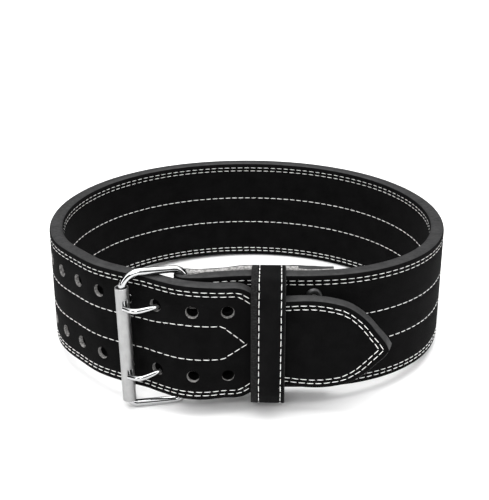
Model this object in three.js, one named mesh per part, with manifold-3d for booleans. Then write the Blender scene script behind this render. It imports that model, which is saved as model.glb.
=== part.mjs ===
// Weightlifting belt: a thick suede-faced leather strap fastened into a waist loop.
// One end of the strap is folded round the rear bar of a wire buckle and riveted to itself.
// The free end passes behind the roller, over the two prongs and through the keeper.
// Millimetres. The belt is drawn upright, lower edge at z = 0 and buckle towards -Y,
// then set down as it stands by itself, on the buckle's lower arm and the far lower edge.

import * as THREE from 'three';
import { mergeVertices } from 'three/addons/utils/BufferGeometryUtils.js';
import Module from 'manifold-3d';

// Strap and waist loop
const BELT_WIDTH = 100;
const LEATHER = 12;
const EDGE_ROUND = 2.4;
const LOOP_HALF_LENGTH = 165.2;
const LOOP_HALF_DEPTH = 138.3;

// Control points of the loop's closed curve, right half, from the front middle to the back
// middle: across is a share of the half length, deep a share of the half depth
const LOOP_CAGE = [
  { across: 0, deep: -0.93 },
  { across: 0.48, deep: -1.0 },
  { across: 0.94, deep: -0.65 },
  { across: 1.05, deep: 0 },
  { across: 0.845, deep: 0.58 },
  { across: 0.45, deep: 0.93 },
  { across: 0, deep: 1.03 },
];

// Places along the loop, measured from the front middle, positive to the right
const BAR_AT = -47.5;
const BUCKLE_LENGTH = 43.1;
const LAP_LENGTH = 117;
const PRONG_HOLE_FROM_BAR = 18.9;

// Holes and free end
const HOLE_PITCH = 25.4;
const HOLE_PAIRS = 8;
const PAIRS_PAST_PRONGS = 2;
const HOLE_RADIUS = 4.85;
const HOLE_ROW = 28;
const TONGUE_LENGTH = 127;
const TONGUE_DROP = 1.3;
const TONGUE_DROP_FROM = 0.3;
const TONGUE_DROP_TO = 0.7;

// Buckle
const WIRE_RADIUS = 3;
const FRAME_HEIGHT = 116;
const FRAME_DROP = 4.5;
const FRAME_SKEW = 2.5;
const FRAME_BEND_HIGH = 15;
const FRAME_BEND_LOW = 6.5;
const FRAME_BEND_BAR_HIGH = 10;
const FRAME_BEND_BAR_LOW = 12;
const ROLLER_RADIUS = 5.4;
const ROLLER_WALL = 0.9;
const ROLLER_LENGTH = 100;
const ROLLER_GAP = 3.2;
const ROLLER_SEAT = 1.2;
const PRONG_RADIUS = 2.2;
const PRONG_TIP_TURN = 55;
const PRONG_TIP_RUN = 11;
const PRONG_TIP_RISE = 2.2;
const PRONG_EYE_ROW = 27.5;
const PRONG_TIP_ROW = 30.3;
const PRONG_SLANT_POWER = 1.5;
const NOTCH_HEIGHT = 8.6;

// Keeper
const KEEPER_WIDTH = 26.5;
const KEEPER_WALL = 3;
const KEEPER_FROM_BAR = 64.5;
const KEEPER_SPREAD_TO_BAR = 20;
const KEEPER_SPREAD_TO_END = 18;
const KEEPER_BEND = 4;
const KEEPER_SOFT_BEND = 10;
const KEEPER_FLAT = 78;
const KEEPER_SLACK = 5;
const KEEPER_DRAW_HIGH = 7.2;
const KEEPER_DRAW_LOW = 7.2;

// Rivets
const RIVET_HEAD_RADIUS = 6.5;
const RIVET_SHANK_RADIUS = 2.6;
const RIVET_CAP = 2.4;
const RIVET_DISC = 1.1;
const RIVET_ROW = 33;
const RIVET_FROM_BAR = 21.5;
const RIVET_SPACING = 77.5;

// Clearances
const GAP = 0.3;
const KEEPER_CLEARANCE = 0.6;
const KEEPER_MARGIN = 3;

// Buckle end. at is a share of LAP_LENGTH from the bar; the rest are shares of LEATHER: front
// and seam are the outer layer's two faces, outwards from the loop's curve, and lap is the
// thickness of the lap behind it; open is 1 where the layers part round the bar
const BUCKLE_END = [
  { at: 0, front: 0.79, seam: 0, lap: 0.515, open: 1 },
  { at: 0.13, front: 0.77, seam: -0.22, lap: 0.515, open: 0 },
  { at: 0.23, front: 0.65, seam: -0.35, lap: 0.515, open: 0 },
  { at: 0.33, front: 0.54, seam: -0.46, lap: 0.515, open: 0 },
  { at: 0.43, front: 0.5, seam: -0.5, lap: 0.515, open: 0 },
  { at: 0.67, front: 0.5, seam: -0.5, lap: 0.55, open: 0 },
  { at: 0.8, front: 0.5, seam: -0.5, lap: 0.7, open: 0 },
  { at: 0.86, front: 0.5, seam: -0.5, lap: 0.68, open: 0 },
  { at: 0.94, front: 0.5, seam: -0.5, lap: 0.5, open: 0 },
  { at: 1, front: 0.5, seam: -0.5, lap: 0.4, open: 0 },
];

// Free end. at is a share of BUCKLE_LENGTH from the bar, negative before it; out and lean are
// shares of LEATHER: how far the wall stands off the loop's curve, and how much its top leans out
const FREE_END = [
  { at: -3.86, out: 0, lean: 0 },
  { at: -3.13, out: 0, lean: 0 },
  { at: -2.35, out: -0.16, lean: 0 },
  { at: -1.72, out: 0.06, lean: 0 },
  { at: -1.15, out: 0.18, lean: 0 },
  { at: -0.71, out: 0.38, lean: 0 },
  { at: -0.42, out: 0.84, lean: 0 },
  { at: -0.1, out: 1.4, lean: 0 },
  { at: 0.16, out: 1.66, lean: 0.02 },
  { at: 0.42, out: 1.72, lean: 0.12 },
  { at: 0.68, out: 1.66, lean: 0.24 },
  { at: 1.15, out: 1.62, lean: 0.17 },
  { at: 1.93, out: 1.58, lean: 0.14 },
  { at: 2.61, out: 1.62, lean: 0.12 },
];

// Tongue. at is a share of TONGUE_LENGTH past the last hole, half a share of half the belt's
// width, and flare the degrees that it has turned outwards since it left the keeper
const TONGUE = [
  { at: 0, half: 1, flare: 0 },
  { at: 0.05, half: 0.995, flare: 0 },
  { at: 0.1, half: 0.965, flare: 0 },
  { at: 0.145, half: 0.9, flare: 0 },
  { at: 0.21, half: 0.79, flare: 0 },
  { at: 0.275, half: 0.735, flare: 0 },
  { at: 0.36, half: 0.755, flare: 0 },
  { at: 0.45, half: 0.775, flare: 0 },
  { at: 0.55, half: 0.78, flare: 0 },
  { at: 0.65, half: 0.748, flare: 1.5 },
  { at: 0.74, half: 0.684, flare: 4.5 },
  { at: 0.81, half: 0.578, flare: 7.5 },
  { at: 0.87, half: 0.445, flare: 10 },
  { at: 0.922, half: 0.29, flare: 12.5 },
  { at: 0.961, half: 0.18, flare: 14.5 },
  { at: 0.985, half: 0.098, flare: 15.5 },
  { at: 1, half: 0.012, flare: 16 },
];

// Steps along each stretch of the strap, and sides of the round parts
const LAP_STEPS = 20;
const FOLD_STEPS = 7;
const WAIST_STEPS = 50;
const BUCKLE_STEPS = 22;
const TONGUE_STEPS = 20;
const TIP_STEPS = 5;
const TIP_STEPS_FROM = 0.93;
const FLARE_STEPS = 24;
const CORNER_STEPS = 2;
const ROUND_SIDES = 10;
const HOLE_SIDES = 12;
const RIVET_SIDES = 12;
const CURVE_STEPS = 60;
const BEND_STEPS = 5;
const PRONG_LOOP_STEPS = 11;
const PRONG_SHANK_STEPS = 18;

const middle = BELT_WIDTH / 2;
const barClearance = WIRE_RADIUS + GAP;
const UP = new THREE.Vector3(0, 0, 1);

const suede = new THREE.MeshStandardMaterial({ color: 0x131313, roughness: 0.95, metalness: 0 });
const nickel = new THREE.MeshStandardMaterial({ color: 0xc9cbcc, roughness: 0.22, metalness: 1 });
const satin = new THREE.MeshStandardMaterial({ color: 0xc4c5c6, roughness: 0.42, metalness: 1 });
const rivetMetal = new THREE.MeshStandardMaterial({ color: 0x8d8f91, roughness: 0.35, metalness: 1 });

// Closed smooth curve of the loop, sampled from the front middle round to the right
function sampleLoop() {
  const right = LOOP_CAGE.map((row) => new THREE.Vector2(
    row.across * LOOP_HALF_LENGTH, row.deep * LOOP_HALF_DEPTH));
  const left = right.slice(1, -1).reverse().map((point) => new THREE.Vector2(-point.x, point.y));
  const cage = [...right, ...left];
  const points = [];
  for (let i = 0; i < cage.length; i++) {
    for (let step = 0; step < CURVE_STEPS; step++) {
      const t = step / CURVE_STEPS;
      const weights = [
        (1 - t) ** 3,
        3 * t ** 3 - 6 * t ** 2 + 4,
        -3 * t ** 3 + 3 * t ** 2 + 3 * t + 1,
        t ** 3,
      ];
      const point = new THREE.Vector2();
      weights.forEach((weight, k) => {
        point.addScaledVector(cage[(i + k - 1 + cage.length) % cage.length], weight / 6);
      });
      points.push(point);
    }
  }
  return points;
}

const loopPoints = sampleLoop();
const loopDistances = [0];
loopPoints.forEach((point, i) => {
  loopDistances.push(loopDistances[i] + point.distanceTo(loopPoints[(i + 1) % loopPoints.length]));
});
const loopLength = loopDistances[loopPoints.length];

// Point, forward direction and outward direction of the loop's curve at a distance along it
function loopAt(along) {
  const wrapped = ((along % loopLength) + loopLength) % loopLength;
  const i = loopDistances.findIndex((distance) => distance > wrapped) - 1;
  const from = loopPoints[i];
  const to = loopPoints[(i + 1) % loopPoints.length];
  const share = (wrapped - loopDistances[i]) / (loopDistances[i + 1] - loopDistances[i]);
  const forward = to.clone().sub(from).normalize();
  return {
    point: from.clone().lerp(to, share),
    forward,
    outward: new THREE.Vector2(forward.y, -forward.x),
  };
}

// Point that stands off the loop's curve by a distance outwards
function standOff(along, out) {
  const { point, outward } = loopAt(along);
  return point.addScaledVector(outward, out);
}

// Smooth value of one column of a table between its rows
function follow(rows, column, at) {
  const last = rows.length - 1;
  if (at <= rows[0].at) return rows[0][column];
  if (at >= rows[last].at) return rows[last][column];
  const i = rows.findIndex((row) => row.at > at) - 1;
  const slope = (k) => {
    const before = rows[Math.max(k - 1, 0)];
    const after = rows[Math.min(k + 1, last)];
    return (after[column] - before[column]) / (after.at - before.at);
  };
  const span = rows[i + 1].at - rows[i].at;
  const t = (at - rows[i].at) / span;
  return (2 * t ** 3 - 3 * t ** 2 + 1) * rows[i][column]
    + (t ** 3 - 2 * t ** 2 + t) * span * slope(i)
    + (3 * t ** 2 - 2 * t ** 3) * rows[i + 1][column]
    + (t ** 3 - t ** 2) * span * slope(i + 1);
}

// Faces of the buckle end's two layers at a distance past the bar. The layers part round the
// bar, and again where the keeper passes between them
function buckleEndFaces(pastBar) {
  const at = pastBar / LAP_LENGTH;
  const seam = follow(BUCKLE_END, 'seam', at) * LEATHER;
  const open = Math.max(follow(BUCKLE_END, 'open', at), 0);
  const besideKeeper = pastBar - KEEPER_FROM_BAR;
  const spread = besideKeeper < 0 ? KEEPER_SPREAD_TO_BAR : KEEPER_SPREAD_TO_END;
  const away = Math.abs(besideKeeper) - KEEPER_WIDTH / 2 - KEEPER_MARGIN;
  const parting = (KEEPER_WALL + GAP) * (1 - THREE.MathUtils.smoothstep(away, 0, spread));
  const lap = THREE.MathUtils.lerp(seam - GAP, -barClearance, open) - parting;
  return {
    front: follow(BUCKLE_END, 'front', at) * LEATHER,
    layer: THREE.MathUtils.lerp(seam, barClearance, open),
    lap,
    back: lap - follow(BUCKLE_END, 'lap', at) * LEATHER,
  };
}

// How far the free end's wall stands off the loop's curve at a distance from the bar
function freeEndOut(fromBar) {
  return follow(FREE_END, 'out', fromBar / BUCKLE_LENGTH) * LEATHER;
}

const prongHoleAt = BAR_AT - PRONG_HOLE_FROM_BAR;
const lastHoleAt = prongHoleAt + PAIRS_PAST_PRONGS * HOLE_PITCH;
const lapEndAt = BAR_AT + LAP_LENGTH;
const freeEndStart = BAR_AT + FREE_END[0].at * BUCKLE_LENGTH;
const flapAt = BAR_AT + KEEPER_FROM_BAR + KEEPER_WIDTH / 2 + KEEPER_MARGIN;
const bar = loopAt(BAR_AT);

// Centre of the free end's wall and its outward direction at a place along the loop
function freeEndAt(along) {
  const step = 1;
  const spot = (at) => standOff(at, freeEndOut(at - BAR_AT));
  const forward = spot(along + step).sub(spot(along - step)).normalize();
  return { centre: spot(along), outward: new THREE.Vector2(forward.y, -forward.x) };
}

// Centre of the tongue's wall past the keeper, where it no longer follows the loop but runs on
// and flares outwards
function flapAtDistance(along) {
  const start = freeEndAt(flapAt);
  const forward = new THREE.Vector2(-start.outward.y, start.outward.x);
  const centre = start.centre.clone();
  const step = (along - flapAt) / FLARE_STEPS;
  for (let i = 0; i < FLARE_STEPS; i++) {
    const share = (flapAt + (i + 0.5) * step - lastHoleAt) / TONGUE_LENGTH;
    const turn = THREE.MathUtils.degToRad(follow(TONGUE, 'flare', share));
    centre.addScaledVector(forward.clone().rotateAround(new THREE.Vector2(), -turn), step);
  }
  return centre;
}

// Stations of the strap from the lap's end, round the bar, round the waist, to the tip
function strapStations() {
  const stations = [];
  const add = (along, inner, outer) => {
    const centre = standOff(along, (inner + outer) / 2);
    stations.push({ centre, wall: Math.abs(outer - inner), half: middle, lean: 0, drop: 0 });
  };
  for (let i = 0; i < LAP_STEPS; i++) {
    const pastBar = LAP_LENGTH * (1 - i / LAP_STEPS);
    const faces = buckleEndFaces(pastBar);
    add(BAR_AT + pastBar, faces.back, faces.lap);
  }
  const wrap = buckleEndFaces(0);
  const wrapRadius = (wrap.front + wrap.layer) / 2;
  for (let i = 0; i <= FOLD_STEPS; i++) {
    const turn = Math.PI * i / FOLD_STEPS;
    const centre = bar.point.clone()
      .addScaledVector(bar.outward, -Math.cos(turn) * wrapRadius)
      .addScaledVector(bar.forward, -Math.sin(turn) * wrapRadius);
    stations.push({ centre, wall: wrap.front - wrap.layer, half: middle, lean: 0, drop: 0 });
  }
  for (let i = 1; i <= LAP_STEPS; i++) {
    const pastBar = LAP_LENGTH * i / LAP_STEPS;
    const faces = buckleEndFaces(pastBar);
    add(BAR_AT + pastBar, faces.layer, faces.front);
  }
  const waistEnd = freeEndStart + loopLength;
  for (let i = 1; i <= WAIST_STEPS; i++) {
    const along = THREE.MathUtils.lerp(lapEndAt, waistEnd, i / WAIST_STEPS);
    add(along, -LEATHER / 2, LEATHER / 2);
  }
  const addFreeEnd = (along, half) => {
    const centre = along > flapAt
      ? flapAtDistance(along) : standOff(along, freeEndOut(along - BAR_AT));
    const lean = follow(FREE_END, 'lean', (along - BAR_AT) / BUCKLE_LENGTH) * LEATHER;
    const share = (along - lastHoleAt) / TONGUE_LENGTH;
    const drop = TONGUE_DROP * THREE.MathUtils.smoothstep(share, TONGUE_DROP_FROM, TONGUE_DROP_TO);
    stations.push({ centre, wall: LEATHER, half, lean, drop });
  };
  for (let i = 1; i <= BUCKLE_STEPS; i++) {
    addFreeEnd(THREE.MathUtils.lerp(freeEndStart, lastHoleAt, i / BUCKLE_STEPS), middle);
  }
  const tipSteps = Array.from({ length: TIP_STEPS }, (_, i) => (
    1 - (1 - TIP_STEPS_FROM) * (1 - (i + 1) / TIP_STEPS) ** 2));
  const tongueSteps = Array.from({ length: TONGUE_STEPS }, (_, i) => (
    TIP_STEPS_FROM * (i + 1) / TONGUE_STEPS));
  for (const share of [...tongueSteps, ...tipSteps]) {
    addFreeEnd(lastHoleAt + TONGUE_LENGTH * share, follow(TONGUE, 'half', share) * middle);
  }
  return stations;
}

// Rounded section of the strap at one station, as points of one ring
function strapRing(station, side) {
  const { centre, wall, half, lean, drop } = station;
  const round = Math.min(EDGE_ROUND, wall * 0.42, half * 0.6);
  const ring = [];
  const quarters = [[1, 1], [-1, 1], [-1, -1], [1, -1]];
  quarters.forEach(([upward, sideward], quarter) => {
    for (let step = 0; step <= CORNER_STEPS; step++) {
      const turn = (quarter + step / CORNER_STEPS) * Math.PI / 2;
      const up = upward * (half - round) + Math.cos(turn) * round;
      const out = sideward * (wall / 2 - round) + Math.sin(turn) * round + lean * up / middle;
      ring.push(new THREE.Vector3(
        centre.x + side.x * out, centre.y + side.y * out, middle - drop + up));
    }
  });
  return ring;
}

// Closed surface through rings of points; the rings run round the direction of travel
function skin(rings, closed) {
  const sides = rings[0].length;
  const positions = rings.flat().flatMap((point) => [point.x, point.y, point.z]);
  const faces = [];
  const spans = closed ? rings.length : rings.length - 1;
  for (let i = 0; i < spans; i++) {
    const here = i * sides;
    const next = ((i + 1) % rings.length) * sides;
    for (let j = 0; j < sides; j++) {
      const k = (j + 1) % sides;
      faces.push(here + j, here + k, next + k);
      faces.push(here + j, next + k, next + j);
    }
  }
  if (!closed) {
    const end = (rings.length - 1) * sides;
    for (let j = 1; j < sides - 1; j++) {
      faces.push(0, j + 1, j);
      faces.push(end, end + j, end + j + 1);
    }
  }
  const geometry = new THREE.BufferGeometry();
  geometry.setAttribute('position', new THREE.Float32BufferAttribute(positions, 3));
  geometry.setIndex(faces);
  return geometry;
}

// Round rod along a list of points that lie in one plane, whose normal is given
function rod(points, radius, planeNormal, closed) {
  const count = points.length;
  const rings = points.map((point, i) => {
    const before = points[closed ? (i - 1 + count) % count : Math.max(i - 1, 0)];
    const after = points[closed ? (i + 1) % count : Math.min(i + 1, count - 1)];
    const forward = after.clone().sub(before).normalize();
    const side = forward.clone().cross(planeNormal).normalize();
    const ring = [];
    for (let k = 0; k < ROUND_SIDES; k++) {
      const turn = 2 * Math.PI * k / ROUND_SIDES;
      ring.push(point.clone()
        .addScaledVector(planeNormal, Math.cos(turn) * radius)
        .addScaledVector(side, Math.sin(turn) * radius));
    }
    return ring;
  });
  return skin(rings, closed);
}

const wasm = await Module();
wasm.setup();

function toSolid(geometry) {
  const bare = geometry.clone();
  bare.deleteAttribute('normal');
  bare.deleteAttribute('uv');
  const merged = mergeVertices(bare, 1e-4);
  return new wasm.Manifold(new wasm.Mesh({
    numProp: 3,
    vertProperties: new Float32Array(merged.attributes.position.array),
    triVerts: new Uint32Array(merged.index.array),
  }));
}

function fromSolid(solid) {
  const mesh = solid.getMesh();
  const geometry = new THREE.BufferGeometry();
  geometry.setAttribute('position', new THREE.Float32BufferAttribute(mesh.vertProperties, 3));
  geometry.setIndex(Array.from(mesh.triVerts));
  geometry.computeVertexNormals();
  return geometry;
}

function cutAll(geometry, cutters) {
  const solid = cutters.reduce((left, cutter) => left.subtract(toSolid(cutter)), toSolid(geometry));
  return fromSolid(solid);
}

// Turn that carries +Y onto a horizontal direction
function facing(direction) {
  const target = new THREE.Vector3(direction.x, direction.y, 0).normalize();
  return new THREE.Quaternion().setFromUnitVectors(new THREE.Vector3(0, 1, 0), target);
}

// Row of adjusting holes: pairs counted back from the last hole
function holeCutters() {
  const cutters = [];
  for (let pair = 0; pair < HOLE_PAIRS; pair++) {
    const spot = freeEndAt(lastHoleAt - pair * HOLE_PITCH);
    for (const rise of [-HOLE_ROW, HOLE_ROW]) {
      const length = LEATHER * 1.5;
      const cutter = new THREE.CylinderGeometry(HOLE_RADIUS, HOLE_RADIUS, length, HOLE_SIDES);
      cutter.applyQuaternion(facing(spot.outward));
      cutter.translate(spot.centre.x, spot.centre.y, middle + rise);
      cutters.push(cutter);
    }
  }
  return cutters;
}

// Rivets in two columns of three: the foot is the loop's point that each goes through, and
// the faces are the highest that its heads have to clear
function rivetSpots() {
  const spots = [];
  ['fold', 'end'].forEach((column, number) => {
    const pastBar = RIVET_FROM_BAR + number * RIVET_SPACING;
    const { point, outward } = loopAt(BAR_AT + pastBar);
    const around = [-1, 0, 1].map((side) => buckleEndFaces(pastBar + side * RIVET_HEAD_RADIUS));
    const faces = {
      front: Math.max(...around.map((face) => face.front)),
      back: Math.min(...around.map((face) => face.back)),
    };
    ['lower', 'middle', 'upper'].forEach((row, level) => {
      spots.push({
        name: `rivet_${column}_${row}`,
        foot: new THREE.Vector3(point.x, point.y, middle + (level - 1) * RIVET_ROW),
        outward,
        faces,
      });
    });
  });
  return spots;
}

function rivetHoleCutters() {
  return rivetSpots().map((spot) => {
    const radius = RIVET_SHANK_RADIUS + GAP;
    const length = spot.faces.front - spot.faces.back + LEATHER / 4;
    const cutter = new THREE.CylinderGeometry(radius, radius, length, RIVET_SIDES);
    cutter.translate(0, (spot.faces.front + spot.faces.back) / 2, 0);
    cutter.applyQuaternion(facing(spot.outward));
    cutter.translate(spot.foot.x, spot.foot.y, spot.foot.z);
    return cutter;
  });
}

const prongLoopRadius = barClearance + PRONG_RADIUS;
const slotHalfHeight = PRONG_RADIUS * 2.1;
const slotPastBar = prongLoopRadius * 2.6;

// Slots through both layers of the fold, one for each prong: a rounded slot past the bar, and
// a drum that opens it round the bar
function slotCutters() {
  const reach = buckleEndFaces(0).front + GAP;
  const outline = new THREE.Shape();
  outline.moveTo(0, -slotHalfHeight);
  outline.lineTo(slotPastBar - slotHalfHeight, -slotHalfHeight);
  outline.absarc(slotPastBar - slotHalfHeight, 0, slotHalfHeight, -Math.PI / 2, Math.PI / 2, false);
  outline.lineTo(0, slotHalfHeight);
  outline.closePath();
  return [-HOLE_ROW, HOLE_ROW].flatMap((rise) => {
    const slot = new THREE.ExtrudeGeometry(outline, {
      depth: 2 * reach, bevelEnabled: false, curveSegments: 4 });
    slot.translate(0, 0, -reach);
    slot.rotateX(Math.PI / 2);
    slot.rotateZ(Math.atan2(bar.forward.y, bar.forward.x));
    const drum = new THREE.CylinderGeometry(reach, reach, 2 * slotHalfHeight, 3 * ROUND_SIDES);
    drum.rotateX(Math.PI / 2);
    return [slot, drum].map((cutter) => cutter.translate(bar.point.x, bar.point.y, middle + rise));
  });
}

// Relief in the fold's upper corner, where the frame's wire bends out of it
function wireReliefCutter() {
  const points = frameOutline().slice(-(BEND_STEPS + 1));
  const relief = rod(points, WIRE_RADIUS + GAP, new THREE.Vector3(0, 1, 0), false);
  relief.rotateZ(Math.atan2(armWay.y, armWay.x));
  return relief.translate(bar.point.x, bar.point.y, frameMiddle);
}

function makeStrap() {
  const stations = strapStations();
  const last = stations.length - 1;
  const rings = stations.map((station, i) => {
    const before = stations[Math.max(i - 1, 0)].centre;
    const after = stations[Math.min(i + 1, last)].centre;
    const forward = after.clone().sub(before).normalize();
    return strapRing(station, new THREE.Vector2(forward.y, -forward.x));
  });
  const cutters = [
    ...holeCutters(), ...rivetHoleCutters(), ...slotCutters(), wireReliefCutter()];
  return new THREE.Mesh(cutAll(skin(rings, false), cutters), suede);
}

// Closed outline through a list of corners, each turned by an arc of its own bend
function roundCorners(corners) {
  const spots = corners.map((corner) => new THREE.Vector2(corner.x, corner.y));
  const points = [];
  spots.forEach((spot, i) => {
    const toBefore = spots[(i - 1 + spots.length) % spots.length].clone().sub(spot);
    const toAfter = spots[(i + 1) % spots.length].clone().sub(spot);
    const half = Math.acos(toBefore.dot(toAfter) / toBefore.length() / toAfter.length()) / 2;
    const room = Math.min(toBefore.length(), toAfter.length()) * 0.48;
    const reach = Math.min(corners[i].bend / Math.tan(half), room);
    const radius = reach * Math.tan(half);
    const start = spot.clone().addScaledVector(toBefore.normalize(), reach);
    const centreWay = toBefore.clone().add(toAfter.normalize()).normalize();
    const centre = spot.clone().addScaledVector(centreWay, radius / Math.sin(half));
    const from = start.sub(centre);
    const sweep = Math.PI - 2 * half;
    for (let step = 0; step <= BEND_STEPS; step++) {
      const turned = from.clone().rotateAround(new THREE.Vector2(), sweep * step / BEND_STEPS);
      points.push(turned.add(centre));
    }
  });
  return points;
}

// Keeper: a closed band that passes between the lap and the outer layer, and round the tongue
function makeKeeper() {
  const { point, forward, outward } = loopAt(BAR_AT + KEEPER_FROM_BAR);
  const inner = buckleEndFaces(KEEPER_FROM_BAR).layer - GAP;
  const outer = freeEndOut(KEEPER_FROM_BAR) + LEATHER / 2 + KEEPER_SLACK;
  const above = middle + KEEPER_CLEARANCE;
  const inside = roundCorners([
    { x: inner, y: -above, bend: EDGE_ROUND },
    { x: outer - KEEPER_DRAW_LOW, y: -above, bend: KEEPER_BEND },
    { x: outer, y: -KEEPER_FLAT / 2, bend: KEEPER_SOFT_BEND },
    { x: outer, y: KEEPER_FLAT / 2, bend: KEEPER_SOFT_BEND },
    { x: outer - KEEPER_DRAW_HIGH, y: above, bend: KEEPER_BEND },
    { x: inner, y: above, bend: EDGE_ROUND },
  ]);
  const outside = inside.map((spot, i) => {
    const before = inside[(i - 1 + inside.length) % inside.length];
    const after = inside[(i + 1) % inside.length];
    const along = after.clone().sub(before).normalize();
    return new THREE.Vector2(spot.x + along.y * KEEPER_WALL, spot.y - along.x * KEEPER_WALL);
  });
  const band = new THREE.Shape(outside);
  band.holes.push(new THREE.Path(inside));
  const geometry = new THREE.ExtrudeGeometry(band, { depth: KEEPER_WIDTH, bevelEnabled: false });
  geometry.translate(0, 0, -KEEPER_WIDTH / 2);
  const keeper = new THREE.Mesh(geometry, suede);
  keeper.quaternion.setFromRotationMatrix(new THREE.Matrix4().makeBasis(
    new THREE.Vector3(outward.x, outward.y, 0),
    UP,
    new THREE.Vector3(-forward.x, -forward.y, 0)));
  keeper.position.set(point.x, point.y, middle);
  return keeper;
}

// Front bar of the buckle, in the roller: it stands off the strap that passes behind it
const frontBarAt = BAR_AT - BUCKLE_LENGTH;
const rollerOut = freeEndOut(-BUCKLE_LENGTH) + LEATHER / 2 + ROLLER_GAP + ROLLER_RADIUS;
const frontBar = standOff(frontBarAt, rollerOut);
const frontForward = loopAt(frontBarAt).forward;
const frontOutward = loopAt(frontBarAt).outward;
const reach = frontBar.distanceTo(bar.point);
const armWay = frontBar.clone().sub(bar.point).normalize();
const armHeight = FRAME_HEIGHT / 2;
const frameMiddle = middle - FRAME_DROP;

// Wire's centre line in its own upright plane, from the bar's foot round to its top. The front
// bar is skewed, so that its top stands further from the rear bar than its foot
function frameOutline() {
  const outline = roundCorners([
    { x: 0, y: -armHeight, bend: FRAME_BEND_BAR_LOW },
    { x: reach - FRAME_SKEW / 2, y: -armHeight, bend: FRAME_BEND_LOW },
    { x: reach + FRAME_SKEW / 2, y: armHeight, bend: FRAME_BEND_HIGH },
    { x: 0, y: armHeight, bend: FRAME_BEND_BAR_HIGH },
  ]);
  return outline.map((spot) => new THREE.Vector3(spot.x, 0, spot.y));
}

// Centre of the front bar at a height
function frontBarAtHeight(height) {
  return frontBar.clone().addScaledVector(armWay, FRAME_SKEW * (height - frameMiddle) / FRAME_HEIGHT);
}

// Buckle frame: one closed loop of round wire
function makeBuckleFrame() {
  const wire = rod(frameOutline(), WIRE_RADIUS, new THREE.Vector3(0, 1, 0), true);
  const frame = new THREE.Mesh(wire, nickel);
  frame.position.set(bar.point.x, bar.point.y, frameMiddle);
  frame.rotation.z = Math.atan2(armWay.y, armWay.x);
  return frame;
}

// Where a prong's tip lies: in a notch on the side of the roller
const tipTurn = THREE.MathUtils.degToRad(PRONG_TIP_TURN);
const tipForward = Math.cos(tipTurn) * ROLLER_RADIUS;
const tipOutward = Math.sin(tipTurn) * ROLLER_RADIUS;

// Roller: a thin tube round the front bar, notched for the prong tips
function makeRoller() {
  const half = ROLLER_LENGTH / 2;
  const inner = ROLLER_RADIUS - ROLLER_WALL;
  const profile = [[inner, -half], [ROLLER_RADIUS, -half], [ROLLER_RADIUS, half], [inner, half],
    [inner, -half]].map(([x, y]) => new THREE.Vector2(x, y));
  const tube = new THREE.LatheGeometry(profile, 2 * ROUND_SIDES);
  tube.rotateX(Math.PI / 2);
  const centre = frameMiddle - armHeight + WIRE_RADIUS + ROLLER_SEAT + half;
  const depth = 2 * ROLLER_RADIUS;
  const near = tipForward - GAP;
  const front = tipOutward - PRONG_RADIUS - GAP;
  const cutters = [-PRONG_TIP_ROW, PRONG_TIP_ROW].map((rise) => {
    const box = new THREE.BoxGeometry(depth, depth, NOTCH_HEIGHT);
    const base = frameMiddle + rise - PRONG_RADIUS - GAP;
    box.translate(near + depth / 2, -front - depth / 2, base + NOTCH_HEIGHT / 2 - centre);
    return box;
  });
  const roller = new THREE.Mesh(cutAll(tube, cutters), satin);
  const foot = frontBarAtHeight(centre);
  const skew = new THREE.Vector3(armWay.x * FRAME_SKEW, armWay.y * FRAME_SKEW, FRAME_HEIGHT);
  roller.position.set(foot.x, foot.y, centre);
  roller.rotation.z = Math.atan2(frontForward.y, frontForward.x);
  roller.applyQuaternion(new THREE.Quaternion().setFromUnitVectors(UP, skew.normalize()));
  return roller;
}

// Prong: looped round the rear bar, out through its hole and back to the roller. side is 1 for
// the upper one and -1 for the lower
function makeProng(name, side) {
  const points = [];
  for (let step = 0; step < PRONG_LOOP_STEPS; step++) {
    const turn = 1.5 * Math.PI * step / PRONG_LOOP_STEPS;
    points.push(bar.point.clone()
      .addScaledVector(bar.forward, -Math.cos(turn) * prongLoopRadius)
      .addScaledVector(bar.outward, -Math.sin(turn) * prongLoopRadius));
  }
  const hole = freeEndAt(prongHoleAt);
  const tipAt = frameMiddle + side * PRONG_TIP_ROW;
  const tip = frontBarAtHeight(tipAt)
    .addScaledVector(frontForward, tipForward)
    .addScaledVector(frontOutward, tipOutward);
  const shank = new THREE.SplineCurve([
    bar.point.clone().addScaledVector(bar.outward, prongLoopRadius),
    hole.centre.clone().addScaledVector(hole.outward, -LEATHER * 0.52),
    hole.centre,
    hole.centre.clone().addScaledVector(hole.outward, LEATHER * 0.55),
    tip.clone().addScaledVector(frontForward, PRONG_TIP_RUN)
      .addScaledVector(frontOutward, PRONG_TIP_RISE),
    tip,
  ]);
  const eyeAt = middle + side * PRONG_EYE_ROW;
  const path = points.map((point) => new THREE.Vector3(point.x, point.y, eyeAt));
  shank.getSpacedPoints(PRONG_SHANK_STEPS).forEach((point, i) => {
    const share = (i / PRONG_SHANK_STEPS) ** PRONG_SLANT_POWER;
    const height = THREE.MathUtils.lerp(eyeAt, tipAt, share);
    path.push(new THREE.Vector3(point.x, point.y, height));
  });
  const prong = new THREE.Mesh(rod(path, PRONG_RADIUS, UP, false), nickel);
  prong.name = name;
  return prong;
}

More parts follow.
